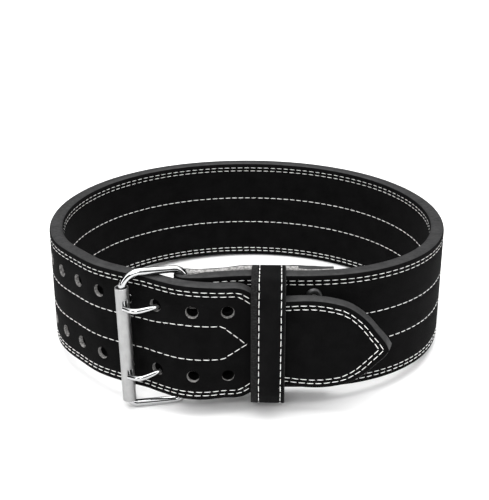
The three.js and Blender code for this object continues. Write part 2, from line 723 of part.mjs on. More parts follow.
// Rivet: a flat disc on the inner face, a shank, and a dimpled cap on the outer face
function makeRivet(spot) {
  const front = spot.faces.front + GAP;
  const back = spot.faces.back - GAP;
  const profile = [
    [0, back - RIVET_DISC],
    [RIVET_HEAD_RADIUS * 0.9, back - RIVET_DISC],
    [RIVET_HEAD_RADIUS, back - RIVET_DISC * 0.4],
    [RIVET_HEAD_RADIUS, back],
    [RIVET_SHANK_RADIUS, back],
    [RIVET_SHANK_RADIUS, front],
    [RIVET_HEAD_RADIUS, front],
    [RIVET_HEAD_RADIUS, front + RIVET_CAP * 0.4],
    [RIVET_HEAD_RADIUS * 0.7, front + RIVET_CAP * 0.9],
    [RIVET_HEAD_RADIUS * 0.35, front + RIVET_CAP],
    [0, front + RIVET_CAP * 0.6],
  ].map(([x, y]) => new THREE.Vector2(x, y));
  const rivet = new THREE.Mesh(new THREE.LatheGeometry(profile, RIVET_SIDES), rivetMetal);
  rivet.name = spot.name;
  rivet.quaternion.copy(facing(spot.outward));
  rivet.position.copy(spot.foot);
  return rivet;
}

// Upright belt
const belt = new THREE.Group();
const strap = makeStrap();
strap.name = 'strap';
const keeper = makeKeeper();
keeper.name = 'keeper';
const buckleFrame = makeBuckleFrame();
buckleFrame.name = 'buckle_frame';
const roller = makeRoller();
roller.name = 'roller';
belt.add(strap, keeper, buckleFrame, roller);
belt.add(makeProng('prong_lower', -1), makeProng('prong_upper', 1));
rivetSpots().forEach((spot) => belt.add(makeRivet(spot)));

// Lean of the belt at rest: it touches the floor with the buckle's lower arm and, straight
// across the loop, with the strap's lower edge
function leanAtRest() {
  const armEnd = bar.point.clone().addScaledVector(armWay, FRAME_BEND_BAR_LOW);
  const across = armEnd.clone().negate().normalize();
  const farEdge = Math.max(...loopPoints.map((point) => point.dot(across))) + LEATHER / 2;
  const drop = Math.max(armHeight + WIRE_RADIUS - frameMiddle, 0);
  const slope = drop / (farEdge - armEnd.dot(across));
  const floorUp = new THREE.Vector3(-slope * across.x, -slope * across.y, 1).normalize();
  return new THREE.Quaternion().setFromUnitVectors(floorUp, UP);
}

const standing = new THREE.Group();
belt.quaternion.copy(leanAtRest());
standing.add(belt);
standing.updateMatrixWorld(true);
const box = new THREE.Box3().setFromObject(standing, true);
belt.position.set(-(box.min.x + box.max.x) / 2, -(box.min.y + box.max.y) / 2, -box.min.z);

export default standing;
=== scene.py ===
# Looks of the weightlifting belt: suede strap, stitching, keeper and buckle, in metres.
# The belt is drawn upright with its lower edge at z = 0 and its buckle towards -Y, as in the
# part's source, and every piece is then laid by the same lean and shift at rest.
import math
import random

import bpy
import numpy as np
from mathutils import Matrix, Quaternion, Vector


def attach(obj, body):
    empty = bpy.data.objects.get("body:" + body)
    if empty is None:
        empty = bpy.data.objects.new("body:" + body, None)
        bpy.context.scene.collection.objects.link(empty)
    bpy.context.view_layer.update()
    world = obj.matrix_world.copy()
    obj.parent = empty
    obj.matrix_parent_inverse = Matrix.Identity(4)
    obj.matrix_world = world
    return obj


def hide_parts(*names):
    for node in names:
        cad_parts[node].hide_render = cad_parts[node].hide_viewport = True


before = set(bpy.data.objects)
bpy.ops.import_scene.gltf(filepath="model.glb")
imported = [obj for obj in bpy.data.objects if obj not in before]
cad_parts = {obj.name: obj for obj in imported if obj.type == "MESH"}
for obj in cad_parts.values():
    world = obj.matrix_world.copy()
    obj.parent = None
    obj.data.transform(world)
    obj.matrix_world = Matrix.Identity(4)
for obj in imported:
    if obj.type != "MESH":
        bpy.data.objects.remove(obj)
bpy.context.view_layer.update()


def table(columns, rows):
    """Rows of numbers as dicts by the names of their columns."""
    return [dict(zip(columns.split(), row)) for row in rows]


# Strap and waist loop
BELT_WIDTH = 0.100
LEATHER = 0.012
EDGE_ROUND = 0.0028
LOOP_HALF_LENGTH = 0.1652
LOOP_HALF_DEPTH = 0.1383

# Control points of the loop's closed curve, right half, front middle to back middle: across
# as a share of the half length, and deep of the half depth
LOOP_CAGE = [
    (0.0, -0.93),
    (0.48, -1.0),
    (0.94, -0.65),
    (1.05, 0.0),
    (0.845, 0.58),
    (0.45, 0.93),
    (0.0, 1.03),
]

# Places along the loop from the front middle, positive to the right
BAR_AT = -0.0475
BUCKLE_LENGTH = 0.0431
LAP_LENGTH = 0.117
PRONG_HOLE_FROM_BAR = 0.0189

# Holes and free end
HOLE_PITCH = 0.0254
HOLE_PAIRS = 8
PAIRS_PAST_PRONGS = 2
HOLE_RADIUS = 0.00485
HOLE_ROW = 0.028
HOLE_FLARE = 0.0003
TONGUE_LENGTH = 0.127
TONGUE_DROP = 0.0013
TONGUE_DROP_FROM = 0.3
TONGUE_DROP_TO = 0.7

# Cutters: reach of a hole, and the height above its middle up to which its bore is painted black as
# shade, as shares of LEATHER; the rest as shares of radii
HOLE_CUT_REACH = 0.75
HOLE_SHADE_SHARE = 0.22
HOLE_CUT_FLARE = 1.4
SLOT_HALF_SHARE = 2.1
SLOT_PAST_BAR_SHARE = 2.6

# Buckle
WIRE_RADIUS = 0.003
FRAME_HEIGHT = 0.116
FRAME_DROP = 0.0045
FRAME_SKEW = 0.0025
FRAME_BEND_HIGH = 0.015
FRAME_BEND_LOW = 0.0065
FRAME_BEND_BAR_HIGH = 0.010
FRAME_BEND_BAR_LOW = 0.012
ROLLER_RADIUS = 0.0054
ROLLER_WALL = 0.0009
ROLLER_LENGTH = 0.100
ROLLER_GAP = 0.0032
ROLLER_SEAT = 0.0012
PRONG_RADIUS = 0.0022
PRONG_TIP_TURN = math.radians(55)
PRONG_TIP_RUN = 0.011
PRONG_TIP_RISE = 0.0022
PRONG_EYE_ROW = 0.0275
PRONG_TIP_ROW = 0.0303
PRONG_SLANT_POWER = 1.5
NOTCH_HEIGHT = 0.0086
NOTCH_CLEARANCE = 0.0009
ROLLER_SOFT = 0.0003
PRONG_LOOP_TURN = 1.5 * math.pi
PRONG_INSIDE_SHARE = 0.52
PRONG_OUTSIDE_SHARE = 0.55
PRONG_END_SHARES = (0.5, 0.85, 1.0)
PRONG_END_STEP = 0.12
PRONG_END_LEAST = 0.02

# Keeper
KEEPER_WIDTH = 0.0265
KEEPER_WALL = 0.003
KEEPER_FROM_BAR = 0.0645
KEEPER_SPREAD_TO_BAR = 0.020
KEEPER_SPREAD_TO_END = 0.018
KEEPER_MARGIN = 0.003
KEEPER_BEND = 0.004
KEEPER_SOFT_BEND = 0.010
KEEPER_FLAT = 0.078
KEEPER_SLACK = 0.005
KEEPER_DRAW_HIGH = 0.0072
KEEPER_DRAW_LOW = 0.0072
KEEPER_CLEARANCE = 0.0006
KEEPER_EDGE = 0.0009
KEEPER_BORDER = 0.0016

# Rivets
RIVET_HEAD_RADIUS = 0.0065
RIVET_SHANK_RADIUS = 0.0026
RIVET_CAP = 0.0024
RIVET_DISC = 0.0011
RIVET_ROW = 0.033
RIVET_FROM_BAR = 0.0215
RIVET_SPACING = 0.0775
RIVET_CUT_PAST = 0.002

# Rivets' disc and cap: shares of the head's radius, and of the disc's or cap's height
DISC_PROFILE = ((0, -0.9), (0.55, -0.95), (0.88, -1), (0.97, -0.8), (1, -0.4), (0.98, 0))
CAP_PROFILE = ((0.98, 0), (1, 0.2), (0.97, 0.42), (0.85, 0.75), (0.66, 0.95), (0.5, 1),
               (0.36, 0.92), (0.26, 0.6), (0.12, 0.45), (0, 0.42))

GAP = 0.0003

# Stitching: distances of the rows from the strap's edge and middle, and the thread
EDGE_ROWS = (0.0047, 0.0079)
INNER_ROW = 0.013
LAP_END_ROW = 0.0035
KEEPER_ROW_LEFT = 0.0062
KEEPER_ROW_RIGHT = 0.0034
V_START_FROM_LAST_HOLE = -0.0045
INNER_ROW_CLIMB = 0.0034
CLIMB_FROM = -0.075
CLIMB_TO = -0.047
V_LENGTH = 0.0195
STITCH_PITCH = 0.0066
STITCH_LENGTH = 0.0053
THREAD_RADIUS = 0.00029
GROOVE_DEPTH = 0.00035
GROOVE_HALF = 0.0005
GROOVE_REACH = 0.0012
NEAR_MIDDLE = 0.006
LOWEST_STITCH = 0.0004
FOLD_CLEAR_SHARE = 0.06

# Lines along a groove: distance from its middle and share of its depth
GROOVE = ((-GROOVE_REACH, 0), (-GROOVE_HALF, 1), (GROOVE_HALF, 1), (GROOVE_REACH, 0))

# One stitch's rings: place as a share of its length, lift and thickness in thread radii; then
# the range of its length, and how far its ends sway
DASH = ((-0.5, -0.8, 0.55), (-0.4, 0.05, 0.9), (0, 0.5, 1.05), (0.4, 0.05, 0.9), (0.5, -0.8, 0.55))
DASH_SIDES = 6
DASH_LENGTHS = (0.94, 1.05)
DASH_SWAY = 0.00012

# Lines of the face inside the grooves, as shares of the last groove's height, and in the
# tongue's tip of the half width; then how near they come to the rounding and to each other
PLAIN_LINES = (0.78, 0.56)
TIP_LINE_FROM = 0.94
TIP_LINE_STEP = 0.08
FACE_SHARE = 0.97
INNER_SHARE = 0.9

# Shares of the half width between which the grooves fade, and the edge's largest rounding
GROOVE_FADE = (0.3, 0.5)
EDGE_ROUND_OF_WALL = 0.42
EDGE_ROUND_OF_HALF = 0.6

# Border between the two sides of the strap's edge: its place as a share of half the flat edge,
# and its waves: size, rate and phase
EDGE_SPLIT = -0.5
EDGE_WAVES = ((0.25, 310, 0), (0.15, 790, 1))

# Share of the lap along which its seam side shows raw leather
RAW_END = 0.76

# Lean and shift of the upright belt at rest
REST_TURN = Quaternion((0.99965556, -0.02402217, 0.01056887, 0.0))
REST_SHIFT = Vector((-0.001148, 0.008268, 0.007649))
REST = Matrix.Translation(REST_SHIFT) @ REST_TURN.to_matrix().to_4x4()

# Buckle end, as shares: at of LAP_LENGTH from the bar, the rest of LEATHER
BUCKLE_END = table("at front seam lap open", [
    (0.0, 0.79, 0.0, 0.515, 1),
    (0.13, 0.77, -0.22, 0.515, 0),
    (0.23, 0.65, -0.35, 0.515, 0),
    (0.33, 0.54, -0.46, 0.515, 0),
    (0.43, 0.5, -0.5, 0.515, 0),
    (0.67, 0.5, -0.5, 0.55, 0),
    (0.8, 0.5, -0.5, 0.7, 0),
    (0.86, 0.5, -0.5, 0.68, 0),
    (0.94, 0.5, -0.5, 0.5, 0),
    (1.0, 0.5, -0.5, 0.4, 0),
])

# Free end, as shares: at of BUCKLE_LENGTH from the bar, out and lean of LEATHER
FREE_END = table("at out lean", [
    (-3.86, 0.0, 0.0),
    (-3.13, 0.0, 0.0),
    (-2.35, -0.16, 0.0),
    (-1.72, 0.06, 0.0),
    (-1.15, 0.18, 0.0),
    (-0.71, 0.38, 0.0),
    (-0.42, 0.84, 0.0),
    (-0.1, 1.4, 0.0),
    (0.16, 1.66, 0.02),
    (0.42, 1.72, 0.12),
    (0.68, 1.66, 0.24),
    (1.15, 1.62, 0.17),
    (1.93, 1.58, 0.14),
    (2.61, 1.62, 0.12),
])

# Tongue, as shares: at of TONGUE_LENGTH past the last hole, half of half the belt's width;
# flare is the angle in degrees that it has turned outwards since it left the keeper
TONGUE = table("at half flare", [
    (0.0, 1.0, 0),
    (0.05, 0.995, 0),
    (0.1, 0.965, 0),
    (0.145, 0.9, 0),
    (0.21, 0.79, 0),
    (0.275, 0.735, 0),
    (0.36, 0.755, 0),
    (0.45, 0.775, 0),
    (0.55, 0.78, 0),
    (0.65, 0.748, 1.5),
    (0.74, 0.684, 4.5),
    (0.81, 0.578, 7.5),
    (0.87, 0.445, 10),
    (0.922, 0.29, 12.5),
    (0.961, 0.18, 14.5),
    (0.985, 0.098, 15.5),
    (1.0, 0.012, 16),
])

# Share of an outline's span that a corner's bend may take
CORNER_SHARE = 0.48

# Fineness of the meshes
LAP_STEPS = 48
FOLD_STEPS = 16
WAIST_STEPS = 150
BUCKLE_STEPS = 66
TONGUE_STEPS = 72
TIP_STEPS = 12
TIP_STEPS_FROM = 0.93
FLARE_STEPS = 40
CORNER_STEPS = 4
CURVE_STEPS = 60
WIRE_SIDES = 24
BEND_STEPS = 12
HOLE_SIDES = 40
RIVET_HOLE_SIDES = 16
RIVET_SIDES = 32
TURNED_SIDES = 48
PRONG_SIDES = 20
SLOT_STEPS = 12
KEEPER_BEND_STEPS = 8
KEEPER_EDGE_STEPS = 3
KEEPER_SPAN = 0.004
FRAME_SPAN = 0.006
PRONG_LOOP_STEPS = 27
PRONG_CURVE_STEPS = 240
PRONG_STEPS = 60
ROW_SAMPLES = 41
DIRECTION_STEP = 0.001

MIDDLE = BELT_WIDTH / 2
BAR_CLEARANCE = WIRE_RADIUS + GAP
UP = Vector((0, 0, 1))
LAP, FOLD, LAYER, WAIST, FREE = range(5)
HOLE_HEIGHTS = (MIDDLE - HOLE_ROW, MIDDLE + HOLE_ROW)
SLOT_HALF = PRONG_RADIUS * SLOT_HALF_SHARE
STRAP_MATERIALS = ("suede", "paint", "raw", "bore")
SUEDE, PAINT, RAW, BORE = range(4)


# Materials

def new_ramp(nodes, low, high, start, end):
    """A ramp from one colour to another between two values."""
    ramp = nodes.new("ShaderNodeValToRGB")
    for stop, color, position in zip(ramp.color_ramp.elements, (low, high), (start, end)):
        stop.position = position
        stop.color = (*color, 1)
    return ramp


class Look:
    """A material, and what feeds its shader's inputs."""

    def __init__(self, name, color, roughness, constants=None):
        self.material = bpy.data.materials.new(name)
        self.material.use_nodes = True
        self.nodes, self.links = self.material.node_tree.nodes, self.material.node_tree.links
        self.inputs = self.nodes["Principled BSDF"].inputs
        self.inputs["Base Color"].default_value = (*color, 1)
        self.inputs["Roughness"].default_value = roughness
        for key, value in (constants or {}).items():
            self.inputs[key].default_value = value

    def noise(self, scale, detail, stretch=(1, 1, 1)):
        """Noise that is finer along an axis the more that axis is stretched."""
        place = self.nodes.new("ShaderNodeTexCoord")
        mapping = self.nodes.new("ShaderNodeMapping")
        mapping.inputs["Scale"].default_value = stretch
        noise = self.nodes.new("ShaderNodeTexNoise")
        noise.inputs["Scale"].default_value = scale
        noise.inputs["Detail"].default_value = detail
        self.links.new(place.outputs["Object"], mapping.inputs["Vector"])
        self.links.new(mapping.outputs["Vector"], noise.inputs["Vector"])
        return noise.outputs["Fac"]

    def vary(self, key, source, low, high, start=0.3, end=0.7):
        """Feeds one of the shader's inputs from a source, between two colours."""
        ramp = new_ramp(self.nodes, low, high, start, end)
        self.links.new(source, ramp.inputs["Fac"])
        self.links.new(ramp.outputs["Color"], self.inputs[key])

    def bump(self, source, distance, strength):
        """Adds relief to the relief that is there."""
        bump = self.nodes.new("ShaderNodeBump")
        bump.inputs["Distance"].default_value = distance
        bump.inputs["Strength"].default_value = strength
        self.links.new(source, bump.inputs["Height"])
        for link in self.inputs["Normal"].links:
            self.links.new(link.from_socket, bump.inputs["Normal"])
        self.links.new(bump.outputs["Normal"], self.inputs["Normal"])


def suede_material(name, dark, light):
    """Brushed black suede: patches of nap, and a fine fibre relief."""
    look = Look(name, light, 0.95, {"Specular IOR Level": 0.05, "Sheen Weight": 0.006,
                                    "Sheen Roughness": 0.6})
    look.vary("Base Color", look.noise(75, 6), dark, light)
    look.bump(look.noise(2600, 3), 0.0003, 0.5)
    look.bump(look.noise(420, 4), 0.0004, 0.35)
    return look.material


def fibrous_material(name, dark, light, start, end, relief):
    """Cut or raw leather, with fibres that lie along the strap."""
    look = Look(name, light, 0.95, {"Specular IOR Level": 0.15})
    look.vary("Base Color", look.noise(520, 7, (1, 1, 2.4)), dark, light, start, end)
    look.bump(look.noise(900, 5, (1, 1, 3)), relief, 0.7)
    return look.material


def paint_material():
    look = Look("edge_paint", (0.04, 0.04, 0.041), 0.6, {"Specular IOR Level": 0.25})
    look.vary("Base Color", look.noise(110, 6, (1, 1, 4)),
              (0.0135, 0.0135, 0.0138), (0.027, 0.027, 0.0275))
    look.vary("Roughness", look.noise(300, 3), (0.5,) * 3, (0.75,) * 3)
    look.bump(look.noise(700, 4, (1, 1, 2.5)), 0.0003, 0.4)
    return look.material


def thread_material():
    look = Look("white_thread", (0.86, 0.86, 0.85), 0.7)
    look.vary("Base Color", look.noise(900, 3), (0.8, 0.8, 0.79), (0.96, 0.96, 0.95))
    look.bump(look.noise(3500, 2), 0.0002, 0.6)
    return look.material


def metal_material(name, dark, light, smooth, rough, grain_scale, stretch, relief):
    """Metal whose gloss and relief follow one grain."""
    look = Look(name, light, rough, {"Metallic": 1.0})
    grain = look.noise(grain_scale, 5, stretch)
    look.vary("Roughness", grain, (smooth,) * 3, (rough,) * 3)
    look.vary("Base Color", look.noise(160, 5), dark, light)
    look.bump(grain, 0.0001, relief)
    return look.material


MATERIALS = dict(
    suede=suede_material("black_suede", (0.0013, 0.0013, 0.00135), (0.003, 0.003, 0.0031)),
    keeper=suede_material("keeper_suede", (0.0018, 0.0018, 0.0019), (0.0042, 0.0042, 0.0043)),
    fibres=fibrous_material("keeper_border", (0.004, 0.004, 0.004), (0.02, 0.02, 0.02),
                            0.42, 0.72, 0.0006),
    paint=paint_material(),
    raw=fibrous_material("raw_leather", (0.07, 0.069, 0.067), (0.38, 0.373, 0.366),
                         0.3, 0.62, 0.0006),
    # Bore of the adjusting holes: raw leather toned a little darker than raw_leather, as painted
    # shade inside the hole
    bore=fibrous_material("shaded_bore_wall", (0.08, 0.078, 0.076), (0.34, 0.333, 0.326),
                          0.34, 0.66, 0.0005),
    thread=thread_material(),
    nickel=metal_material("bright_nickel", (0.42, 0.424, 0.428), (0.54, 0.544, 0.548),
                          0.05, 0.12, 240, (1, 1, 1), 0.06),
    roller=metal_material("satin_steel", (0.32, 0.32, 0.32), (0.37, 0.37, 0.37),
                          0.38, 0.5, 900, (1, 1, 0.12), 0.3),
    rivet=metal_material("rivet_steel", (0.45, 0.45, 0.46), (0.72, 0.72, 0.73),
                         0.28, 0.5, 700, (1, 1, 1), 0.3),
    # Rim of the rivets' outer caps: near-black metal, painted shade and reflection of the dark
    # leather round it
    dark_cap=metal_material("dark_rivet_cap", (0.035, 0.035, 0.036), (0.09, 0.09, 0.092),
                            0.3, 0.55, 700, (1, 1, 1), 0.3),
)


# Curves and tables

def sample_loop():
    right = [(across * LOOP_HALF_LENGTH, deep * LOOP_HALF_DEPTH) for across, deep in LOOP_CAGE]
    left = [(-x, y) for x, y in right[-2:0:-1]]
    cage = np.array(right + left)
    t = np.arange(CURVE_STEPS) / CURVE_STEPS
    weights = np.stack([
        (1 - t) ** 3,
        3 * t ** 3 - 6 * t ** 2 + 4,
        -3 * t ** 3 + 3 * t ** 2 + 3 * t + 1,
        t ** 3,
    ], axis=1) / 6
    spans = [weights @ cage[[(i + k - 1) % len(cage) for k in range(4)]]
             for i in range(len(cage))]
    return np.concatenate(spans)


LOOP_POINTS = sample_loop()
LOOP_CLOSED = np.vstack([LOOP_POINTS, LOOP_POINTS[:1]])
LOOP_STEPS = np.diff(LOOP_CLOSED, axis=0)
LOOP_DISTANCES = np.concatenate([[0], np.cumsum(np.hypot(*LOOP_STEPS.T))])
LOOP_LENGTH = LOOP_DISTANCES[-1]
LOOP_TURNS = np.unwrap(np.arctan2(LOOP_STEPS[:, 1], LOOP_STEPS[:, 0]))
LOOP_MIDS = (LOOP_DISTANCES[:-1] + LOOP_DISTANCES[1:]) / 2


def loop_at(along):
    """Point, forward and outward direction of the loop's curve."""
    wrapped = along % LOOP_LENGTH
    point = np.array([np.interp(wrapped, LOOP_DISTANCES, LOOP_CLOSED[:, axis])
                      for axis in (0, 1)])
    turn = np.interp(wrapped, LOOP_MIDS, LOOP_TURNS)
    forward = np.array([math.cos(turn), math.sin(turn)])
    return point, forward, np.array([forward[1], -forward[0]])


def stand_off(along, out):
    point, _, outward = loop_at(along)
    return point + outward * out


def follow(rows, column, at):
    """Smooth value of one column of a table between its rows."""
    last = len(rows) - 1
    if at <= rows[0]["at"]:
        return rows[0][column]
    if at >= rows[last]["at"]:
        return rows[last][column]
    i = next(k for k in range(last) if rows[k + 1]["at"] > at)

    def slope(k):
        before, after = rows[max(k - 1, 0)], rows[min(k + 1, last)]
        return (after[column] - before[column]) / (after["at"] - before["at"])

    span = rows[i + 1]["at"] - rows[i]["at"]
    t = (at - rows[i]["at"]) / span
    return ((2 * t ** 3 - 3 * t ** 2 + 1) * rows[i][column]
            + (t ** 3 - 2 * t ** 2 + t) * span * slope(i)
            + (3 * t ** 2 - 2 * t ** 3) * rows[i + 1][column]
            + (t ** 3 - t ** 2) * span * slope(i + 1))


def smoothstep(value, low, high):
    t = min(max((value - low) / (high - low), 0), 1)
    return t * t * (3 - 2 * t)


def mix(low, high, share):
    return low + (high - low) * share


def buckle_end_faces(past_bar):
    """Outer face, inner face of the outer layer, and the lap's two faces."""
    at = past_bar / LAP_LENGTH
    seam = follow(BUCKLE_END, "seam", at) * LEATHER
    opening = max(follow(BUCKLE_END, "open", at), 0)
    beside_keeper = past_bar - KEEPER_FROM_BAR
    spread = KEEPER_SPREAD_TO_BAR if beside_keeper < 0 else KEEPER_SPREAD_TO_END
    away = abs(beside_keeper) - KEEPER_WIDTH / 2 - KEEPER_MARGIN
    parting = (KEEPER_WALL + GAP) * (1 - smoothstep(away, 0, spread))
    lap = mix(seam - GAP, -BAR_CLEARANCE, opening) - parting
    return dict(
        front=follow(BUCKLE_END, "front", at) * LEATHER,
        layer=mix(seam, BAR_CLEARANCE, opening),
        lap=lap,
        back=lap - follow(BUCKLE_END, "lap", at) * LEATHER,
    )


def free_end_out(from_bar):
    return follow(FREE_END, "out", from_bar / BUCKLE_LENGTH) * LEATHER


PRONG_HOLE_AT = BAR_AT - PRONG_HOLE_FROM_BAR
LAST_HOLE_AT = PRONG_HOLE_AT + PAIRS_PAST_PRONGS * HOLE_PITCH
V_START_AT = LAST_HOLE_AT + V_START_FROM_LAST_HOLE
LAP_END_AT = BAR_AT + LAP_LENGTH
FREE_END_START = BAR_AT + FREE_END[0]["at"] * BUCKLE_LENGTH
FLAP_AT = BAR_AT + KEEPER_FROM_BAR + KEEPER_WIDTH / 2 + KEEPER_MARGIN
BAR_POINT, BAR_FORWARD, BAR_OUTWARD = loop_at(BAR_AT)


def free_end_at(along):
    """Centre of the free end's wall and its outward direction."""
    before, after = (stand_off(along + step, free_end_out(along + step - BAR_AT))
                     for step in (-DIRECTION_STEP, DIRECTION_STEP))
    forward = (after - before) / np.linalg.norm(after - before)
    centre = stand_off(along, free_end_out(along - BAR_AT))
    return centre, np.array([forward[1], -forward[0]])


def flap_at(along):
    """Centre of the tongue's wall past the keeper, where it runs on and flares outwards."""
    centre, outward = free_end_at(FLAP_AT)
    heading = math.atan2(outward[0], -outward[1])
    step = (along - FLAP_AT) / FLARE_STEPS
    for i in range(FLARE_STEPS):
        share = (FLAP_AT + (i + 0.5) * step - LAST_HOLE_AT) / TONGUE_LENGTH
        turn = heading - math.radians(follow(TONGUE, "flare", share))
        centre = centre + step * np.array([math.cos(turn), math.sin(turn)])
    return centre


# Stations of the strap, from the lap's end round the bar and the waist to the tip

class Strap:
    COLUMNS = ("part", "along", "centre", "wall", "half", "lean", "drop")

    def __init__(self):
        self.stations = []
        self.add_buckle_end(LAP, [LAP_LENGTH * (1 - i / LAP_STEPS) for i in range(LAP_STEPS)],
                            "back", "lap")
        self.add_fold()
        self.add_buckle_end(LAYER, [LAP_LENGTH * i / LAP_STEPS for i in range(1, LAP_STEPS + 1)],
                            "layer", "front")
        self.add_waist()
        self.add_free_end()
        for name, column in zip(self.COLUMNS, zip(*self.stations)):
            setattr(self, name, np.array(column))
        forward = np.gradient(self.centre, axis=0)
        forward /= np.linalg.norm(forward, axis=1)[:, None]
        self.side = np.stack([forward[:, 1], -forward[:, 0]], axis=1)
        for i, (part, along) in enumerate(zip(self.part, self.along)):
            if part in (LAP, LAYER):
                self.side[i] = loop_at(along)[2] * (1 if part == LAYER else -1)
        steps = np.hypot(*np.diff(self.centre, axis=0).T)
        self.distance = np.concatenate([[0], np.cumsum(steps)])

    def add(self, part, along, centre, wall, half=MIDDLE, lean=0.0, drop=0.0):
        self.stations.append((part, along, centre, wall, half, lean, drop))

    def add_between(self, part, along, inner, outer):
        self.add(part, along, stand_off(along, (inner + outer) / 2), abs(outer - inner))

    def add_buckle_end(self, part, places, inner, outer):
        for past_bar in places:
            faces = buckle_end_faces(past_bar)
            self.add_between(part, BAR_AT + past_bar, faces[inner], faces[outer])

    def add_fold(self):
        wrap = buckle_end_faces(0)
        radius = (wrap["front"] + wrap["layer"]) / 2
        for i in range(FOLD_STEPS + 1):
            turn = math.pi * i / FOLD_STEPS
            centre = (BAR_POINT - BAR_OUTWARD * math.cos(turn) * radius
                      - BAR_FORWARD * math.sin(turn) * radius)
            self.add(FOLD, BAR_AT, centre, wrap["front"] - wrap["layer"])

    def add_waist(self):
        end = FREE_END_START + LOOP_LENGTH
        for i in range(1, WAIST_STEPS + 1):
            along = mix(LAP_END_AT, end, i / WAIST_STEPS)
            self.add_between(WAIST, along, -LEATHER / 2, LEATHER / 2)

    def add_free_end(self):
        places = [(mix(FREE_END_START, LAST_HOLE_AT, i / BUCKLE_STEPS), MIDDLE)
                  for i in range(1, BUCKLE_STEPS + 1)]
        shares = [TIP_STEPS_FROM * (i + 1) / TONGUE_STEPS for i in range(TONGUE_STEPS)]
        shares += [1 - (1 - TIP_STEPS_FROM) * (1 - (i + 1) / TIP_STEPS) ** 2
                   for i in range(TIP_STEPS)]
        places += [(LAST_HOLE_AT + TONGUE_LENGTH * share, follow(TONGUE, "half", share) * MIDDLE)
                   for share in shares]
        for along, half in places:
            if along > FLAP_AT:
                centre = flap_at(along)
            else:
                centre = stand_off(along, free_end_out(along - BAR_AT))
            lean = follow(FREE_END, "lean", (along - BAR_AT) / BUCKLE_LENGTH) * LEATHER
            drop = TONGUE_DROP * smoothstep((along - LAST_HOLE_AT) / TONGUE_LENGTH,
                                            TONGUE_DROP_FROM, TONGUE_DROP_TO)
            self.add(FREE, along + LOOP_LENGTH, centre, LEATHER, half, lean, drop)

    def row_height(self, i, from_edge):
        """Height above the middle of a line that runs a distance inside the outline."""
        if self.half[i] == MIDDLE and abs(self.distance[-1] - self.distance[i]) > TONGUE_LENGTH:
            return MIDDLE - from_edge
        here = self.distance[i]
        places = here + np.linspace(-from_edge, from_edge, ROW_SAMPLES)
        outline = np.interp(places, self.distance, self.half)
        outline[places > self.distance[-1]] = 0
        reach = np.sqrt(np.maximum(from_edge ** 2 - (places - here) ** 2, 0))
        return float(np.min(outline - reach))

    def point(self, i, up, out):
        """Point of a station's section, from its middle."""
        x, y = self.centre[i] + self.side[i] * (out + self.lean[i] * up / MIDDLE)
        return Vector((x, y, MIDDLE - self.drop[i] + up))


STRAP = Strap()


# Meshes

def add_to_scene(name, data):
    obj = bpy.data.objects.new(name, data)
    bpy.context.scene.collection.objects.link(obj)
    return obj


def add_object(name, vertices, faces, materials, face_materials=None):
    mesh = bpy.data.meshes.new(name)
    mesh.from_pydata([REST @ Vector(vertex) for vertex in vertices], [], faces)
    for material in materials:
        mesh.materials.append(MATERIALS[material])
    if face_materials is not None:
        mesh.polygons.foreach_set("material_index", face_materials)
    mesh.polygons.foreach_set("use_smooth", [True] * len(mesh.polygons))
    mesh.update()
    return add_to_scene(name, mesh)


def finish_piece(obj, slot, *nodes, sharp=math.radians(40)):
    obj.data.set_sharp_from_angle(angle=sharp)
    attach(obj, "root")
    if nodes:
        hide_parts(*nodes)


def circle(sides):
    """Cosines and sines of even steps round a full turn."""
    turns = [2 * math.pi * k / sides for k in range(sides)]
    return [(math.cos(turn), math.sin(turn)) for turn in turns]


def band_faces(rings, sides, closed=False):
    """Quads between rings that run round the direction of travel."""
    faces = []
    for i in range(rings if closed else rings - 1):
        here, following = i * sides, (i + 1) % rings * sides
        for j in range(sides):
            k = (j + 1) % sides
            faces.append((here + j, here + k, following + k, following + j))
    return faces


def skin_faces(rings, sides):
    """Quads between rings of points, and two end caps."""
    last = (rings - 1) * sides
    caps = [tuple(range(sides))[::-1], tuple(range(last, last + sides))]
    return band_faces(rings, sides) + caps


def rod(points, radii, plane_normal, closed=False, sides=WIRE_SIDES):
    """Vertices and faces of a round rod along points in one plane."""
    vertices = []
    count = len(points)
    for i, point in enumerate(points):
        before = points[(i - 1) % count if closed else max(i - 1, 0)]
        after = points[(i + 1) % count if closed else min(i + 1, count - 1)]
        forward = (after - before).normalized()
        across = forward.cross(plane_normal).normalized()
        vertices.extend(point + radii[i] * (plane_normal * c + across * s)
                        for c, s in circle(sides))
    return vertices, band_faces(count, sides, True) if closed else skin_faces(count, sides)


def lathe(profile, sides, matrix, closed=False):
    """Vertices and faces of a profile of (radius, height) pairs turned about Z."""
    vertices = [matrix @ Vector((radius * c, radius * s, height))
                for radius, height in profile for c, s in circle(sides)]
    return vertices, band_faces(len(profile), sides, closed)


def turned_solid(profile, sides, matrix):
    """A turned solid whose profile starts and ends on the axis, with single pole points."""
    ring_profile = profile[1:-1]
    vertices, faces = lathe(ring_profile, sides, matrix)
    low = len(vertices)
    vertices += [matrix @ Vector((0, 0, profile[end][1])) for end in (0, -1)]
    last = (len(ring_profile) - 1) * sides
    for k in range(sides):
        following = (k + 1) % sides
        faces.append((low, following, k))
        faces.append((low + 1, last + k, last + following))
    return vertices, faces


def mirrored(upper):
    """A whole profile from its upper half."""
    return [(radius, -height) for radius, height in upper[::-1]] + upper


def repeat_each(values, times):
    return [value for value in values for _ in range(times)]


def cut(obj, cutter):
    """Subtract one closed mesh from another and delete the cutter."""
    modifier = obj.modifiers.new("cut", "BOOLEAN")
    modifier.operation = "DIFFERENCE"
    modifier.solver = "EXACT"
    modifier.object = cutter
    evaluated = obj.evaluated_get(bpy.context.evaluated_depsgraph_get())
    mesh = bpy.data.meshes.new_from_object(evaluated)
    obj.modifiers.clear()
    old = obj.data
    obj.data = mesh
    bpy.data.meshes.remove(old)
    bpy.data.objects.remove(cutter)


# Buckle's centre lines

